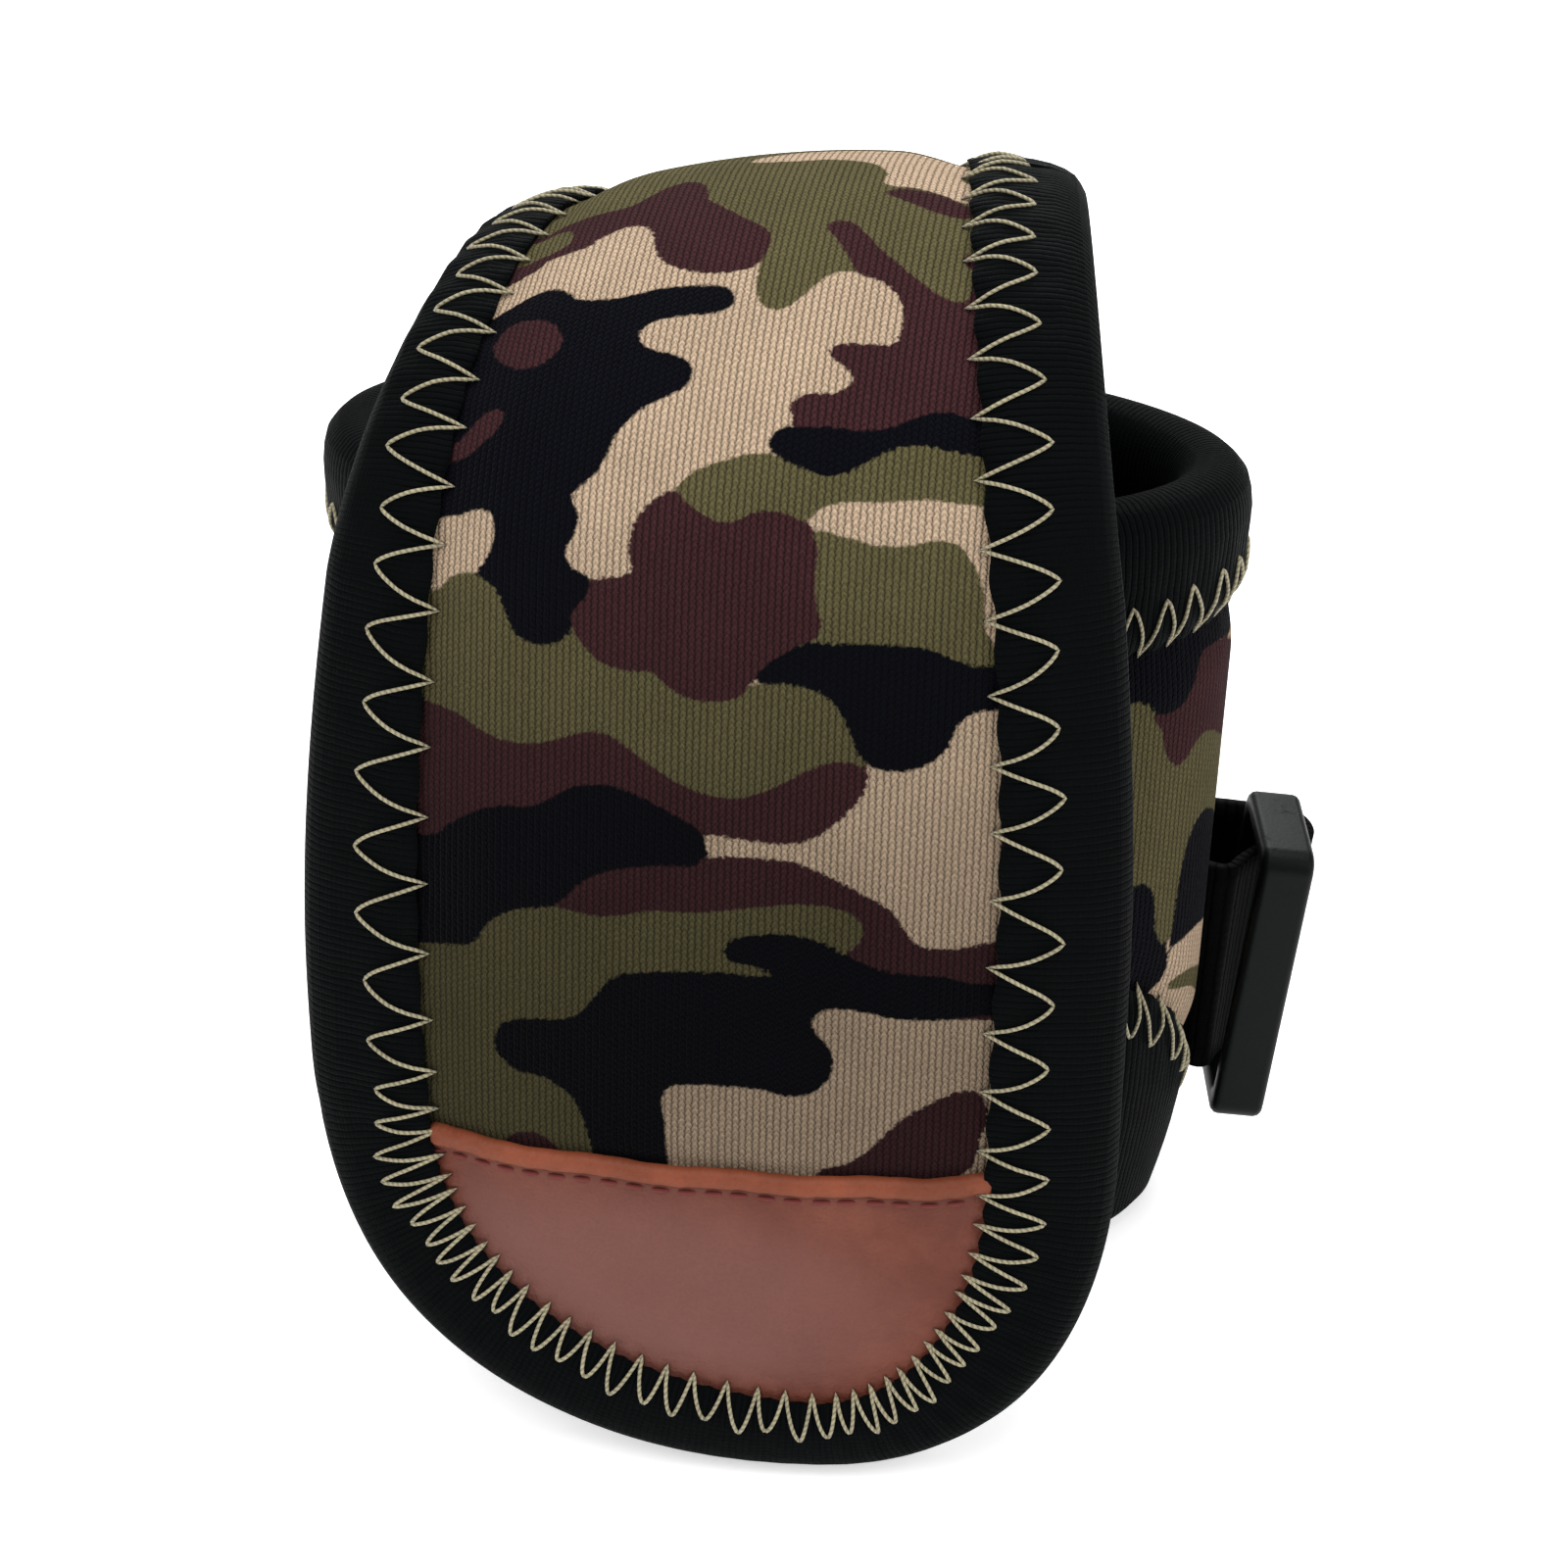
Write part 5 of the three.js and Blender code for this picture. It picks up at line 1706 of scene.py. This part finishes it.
def keeper_path():
    """Centre line of the keeper seen from above: off the wall, round the ring's bar and back."""
    centre = (RING_CENTRE - np.array([CUFF_X, CUFF_Y, 0.0])) / MM

    def on_wall(degrees, layer):
        around = np.interp(math.radians(degrees), CUFF_ANGLES, CUFF_ROUND)
        return cuff_point(np.array([around]), np.array([centre[2]]), -KEEPER_LIFT - layer)[0, :2]

    free = ((-5.7, -2.6), (-3.9, -3.0), (-2.6, -0.4), (-0.4, 2.6), (2.2, 3.2), (3.1, 5.6),
            (1.6, 9.0), (-4, 10.3), (-10, 10.4))
    corners = [on_wall(degrees, 0) for degrees in (54, 46, 38, 30, 22)]
    corners += [centre[:2] + np.array(step) for step in free]
    corners += [on_wall(degrees, KEEPER_SECOND_LAYER) for degrees in (45, 51)]
    return open_curve(corners)


def open_curve(corners, steps=12):
    """Centripetal Catmull-Rom curve through the corners of an open path."""
    p = np.array(corners, float)
    p = np.vstack([2 * p[0] - p[1], p, 2 * p[-1] - p[-2]])
    points = []
    for a, b, c, d in zip(p, p[1:], p[2:], p[3:]):
        knots = np.concatenate([[0], np.cumsum([
            math.sqrt(np.linalg.norm(end - start)) for start, end in ((a, b), (b, c), (c, d))
        ])])
        for t in np.linspace(knots[1], knots[2], steps, endpoint=False):
            def between(low, high, first, last):
                return ((high - t) * first + (t - low) * last) / (high - low)

            ab, bc = between(knots[0], knots[1], a, b), between(knots[1], knots[2], b, c)
            cd = between(knots[2], knots[3], c, d)
            abc, bcd = between(knots[0], knots[2], ab, bc), between(knots[1], knots[3], bc, cd)
            points.append(between(knots[1], knots[2], abc, bcd))
    return np.vstack([points, p[-2]])


class PADDED_OT_ring_keeper(PaddedCuffOperator, bpy.types.Operator):
    """Build the webbing that holds the ring and the bar of stitches that closes it"""

    bl_idname = "padded.ring_keeper"
    bl_label = "Ring Keeper"

    def execute(self, context):
        path = keeper_path()
        walked = distances_along(path)
        low, high = (corner[2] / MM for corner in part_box("ring_keeper_webbing"))
        middle, half = (low + high) / 2, (high - low) / 2
        centre_x = (RING_CENTRE[0] - CUFF_X) / MM

        def place(u, v):
            distance = u * walked[-1]
            x, y = (np.interp(distance, walked, path[:, axis]) for axis in (0, 1))
            height = (v - 0.5) * 2 * half
            loose = smooth((x - KEEPER_SEWN_TO) / (centre_x - KEEPER_SEWN_TO))
            return np.stack([x + math.tan(RING_LEAN) * height * loose, y, middle + height], -1)

        def chart(u, v):
            return u * walked[-1], v * 2 * half

        keeper = finish_mesh(draft_grid(150, 14), "keeper_webbing", place, chart)
        thicken(keeper, KEEPER_THICKNESS, offset=0.0)
        dress(keeper, "webbing_weave", ["ring_keeper_webbing"])
        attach(keeper, "cuff")

        first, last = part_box("keeper_bartack")
        x, y = ((first[i] + last[i]) / 2 for i in (0, 1))
        heights = np.arange(low + TACK_INSET, high - TACK_INSET, TACK_PITCH)
        out = np.array([x - CUFF_X, (y - CUFF_Y) * 4, 0.0])
        out /= np.linalg.norm(out)
        side = np.array([-out[1], out[0], 0.0])
        paths = []
        base = (np.array([x, y, 0.0]) - np.array([CUFF_X, CUFF_Y, 0.0])) / MM
        for height in heights:
            share = np.linspace(-1, 1, 6)
            rise = 0.3 * np.cos(share * math.pi / 2)
            points = base + side * share[:, None] * TACK_HALF_WIDTH + out * (rise[:, None] - 0.2)
            points[:, 2] = height + TACK_SLANT * share
            paths.append((points, np.tile(out, (6, 1))))
        tack = tubes("keeper_tack", paths, TACK_RADIUS)
        dress(tack, "khaki_thread", ["keeper_bartack"])
        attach(tack, "cuff")
        return {"FINISHED"}


CAMERA_AZIMUTH, CAMERA_ELEVATION = math.radians(9.069), math.radians(29.367)
CAMERA_DISTANCE, CAMERA_LENS = 0.35193, 80.28
AIM_SHIFT, AIM_HEIGHT = 0.228, 0.5466
FLOOR_HALF_SIDE = 4.0
WORLD_STRENGTH = 0.4
# Each lamp's name, place in metres, diameter in metres and power in watts.
LAMPS = (
    ("key_light", (-0.35, -0.75, 0.95), 0.8, 7.5),
    ("side_light", (0.8, -0.35, 0.6), 0.6, 4.0),
    ("top_light", (0.0, 0.1, 1.2), 0.9, 12.0),
    ("back_light", (-0.1, 1.15, 0.75), 0.8, 8.0),
)


class PADDED_OT_stage(PaddedCuffOperator, bpy.types.Operator):
    """Set the plain pale floor, the soft studio light and the camera"""

    bl_idname = "padded.stage"
    bl_label = "Floor, Light and Camera"

    def execute(self, context):
        scene = context.scene
        scene.view_settings.view_transform = "Standard"
        target = Vector((CUFF_X + AIM_SHIFT * MM, CUFF_Y, CUFF_HEIGHT * AIM_HEIGHT * MM))
        level = math.cos(CAMERA_ELEVATION)
        back = Vector((
            math.sin(CAMERA_AZIMUTH) * level,
            -math.cos(CAMERA_AZIMUTH) * level,
            math.sin(CAMERA_ELEVATION),
        ))
        camera_data = bpy.data.cameras.new("studio_camera")
        camera_data.sensor_width = 36.0
        camera_data.lens = CAMERA_LENS
        camera_data.clip_start = 0.01
        camera = bpy.data.objects.new("studio_camera", camera_data)
        camera.location = target + back * CAMERA_DISTANCE
        camera.rotation_euler = back.to_track_quat("Z", "Y").to_euler()
        scene.collection.objects.link(camera)
        scene.camera = camera

        bm = bmesh.new()
        bmesh.ops.create_grid(bm, x_segments=1, y_segments=1, size=FLOOR_HALF_SIDE)
        mesh = bpy.data.meshes.new("floor")
        bm.to_mesh(mesh)
        bm.free()
        floor = bpy.data.objects.new("floor", mesh)
        scene.collection.objects.link(floor)
        mesh.materials.append(look_of("pale_floor"))

        world = bpy.data.worlds.new("studio_world")
        world.use_nodes = True
        sky = world.node_tree.nodes["Background"]
        sky.inputs["Color"].default_value = (1.0, 1.0, 1.0, 1.0)
        sky.inputs["Strength"].default_value = WORLD_STRENGTH
        scene.world = world
        for name, spot, size, power in LAMPS:
            light = bpy.data.lights.new(name, "AREA")
            light.shape = "DISK"
            light.size = size
            light.energy = power
            lamp = bpy.data.objects.new(name, light)
            lamp.location = spot
            lamp.rotation_euler = (Vector(spot) - target).to_track_quat("Z", "Y").to_euler()
            scene.collection.objects.link(lamp)
        return {"FINISHED"}


BUILD_STEPS = (
    PADDED_OT_stage,
    PADDED_OT_cuff_wall,
    PADDED_OT_cuff_edges,
    PADDED_OT_strap_front,
    PADDED_OT_strap_back,
    PADDED_OT_strap_edges,
    PADDED_OT_leather_tip,
    PADDED_OT_grip_patches,
    PADDED_OT_anchor_seams,
    PADDED_OT_ring,
    PADDED_OT_ring_keeper,
)


class PADDED_PT_panel(bpy.types.Panel):
    """Lists the building steps with the sizes and colours they use"""

    bl_idname = "PADDED_PT_panel"
    bl_label = "Padded Cuff"
    bl_space_type = "VIEW_3D"
    bl_region_type = "UI"
    bl_category = "Padded Cuff"

    def draw(self, context):
        for group in (SIZES_NAME, COLOURS_NAME):
            values = getattr(context.scene, group)
            for name in values.__annotations__:
                self.layout.prop(values, name)
        for step in BUILD_STEPS:
            self.layout.operator(step.bl_idname)


CLASSES = (CuffSizes, CuffColours, *BUILD_STEPS, PADDED_PT_panel)


def register():
    for cls in CLASSES:
        bpy.utils.register_class(cls)
    setattr(bpy.types.Scene, SIZES_NAME, bpy.props.PointerProperty(type=CuffSizes))
    setattr(bpy.types.Scene, COLOURS_NAME, bpy.props.PointerProperty(type=CuffColours))


def unregister():
    delattr(bpy.types.Scene, SIZES_NAME)
    delattr(bpy.types.Scene, COLOURS_NAME)
    for cls in reversed(CLASSES):
        bpy.utils.unregister_class(cls)


def main():
    register()
    for step in BUILD_STEPS:
        group, name = step.bl_idname.split(".")
        getattr(getattr(bpy.ops, group), name)()


if __name__ == "__main__":
    main()
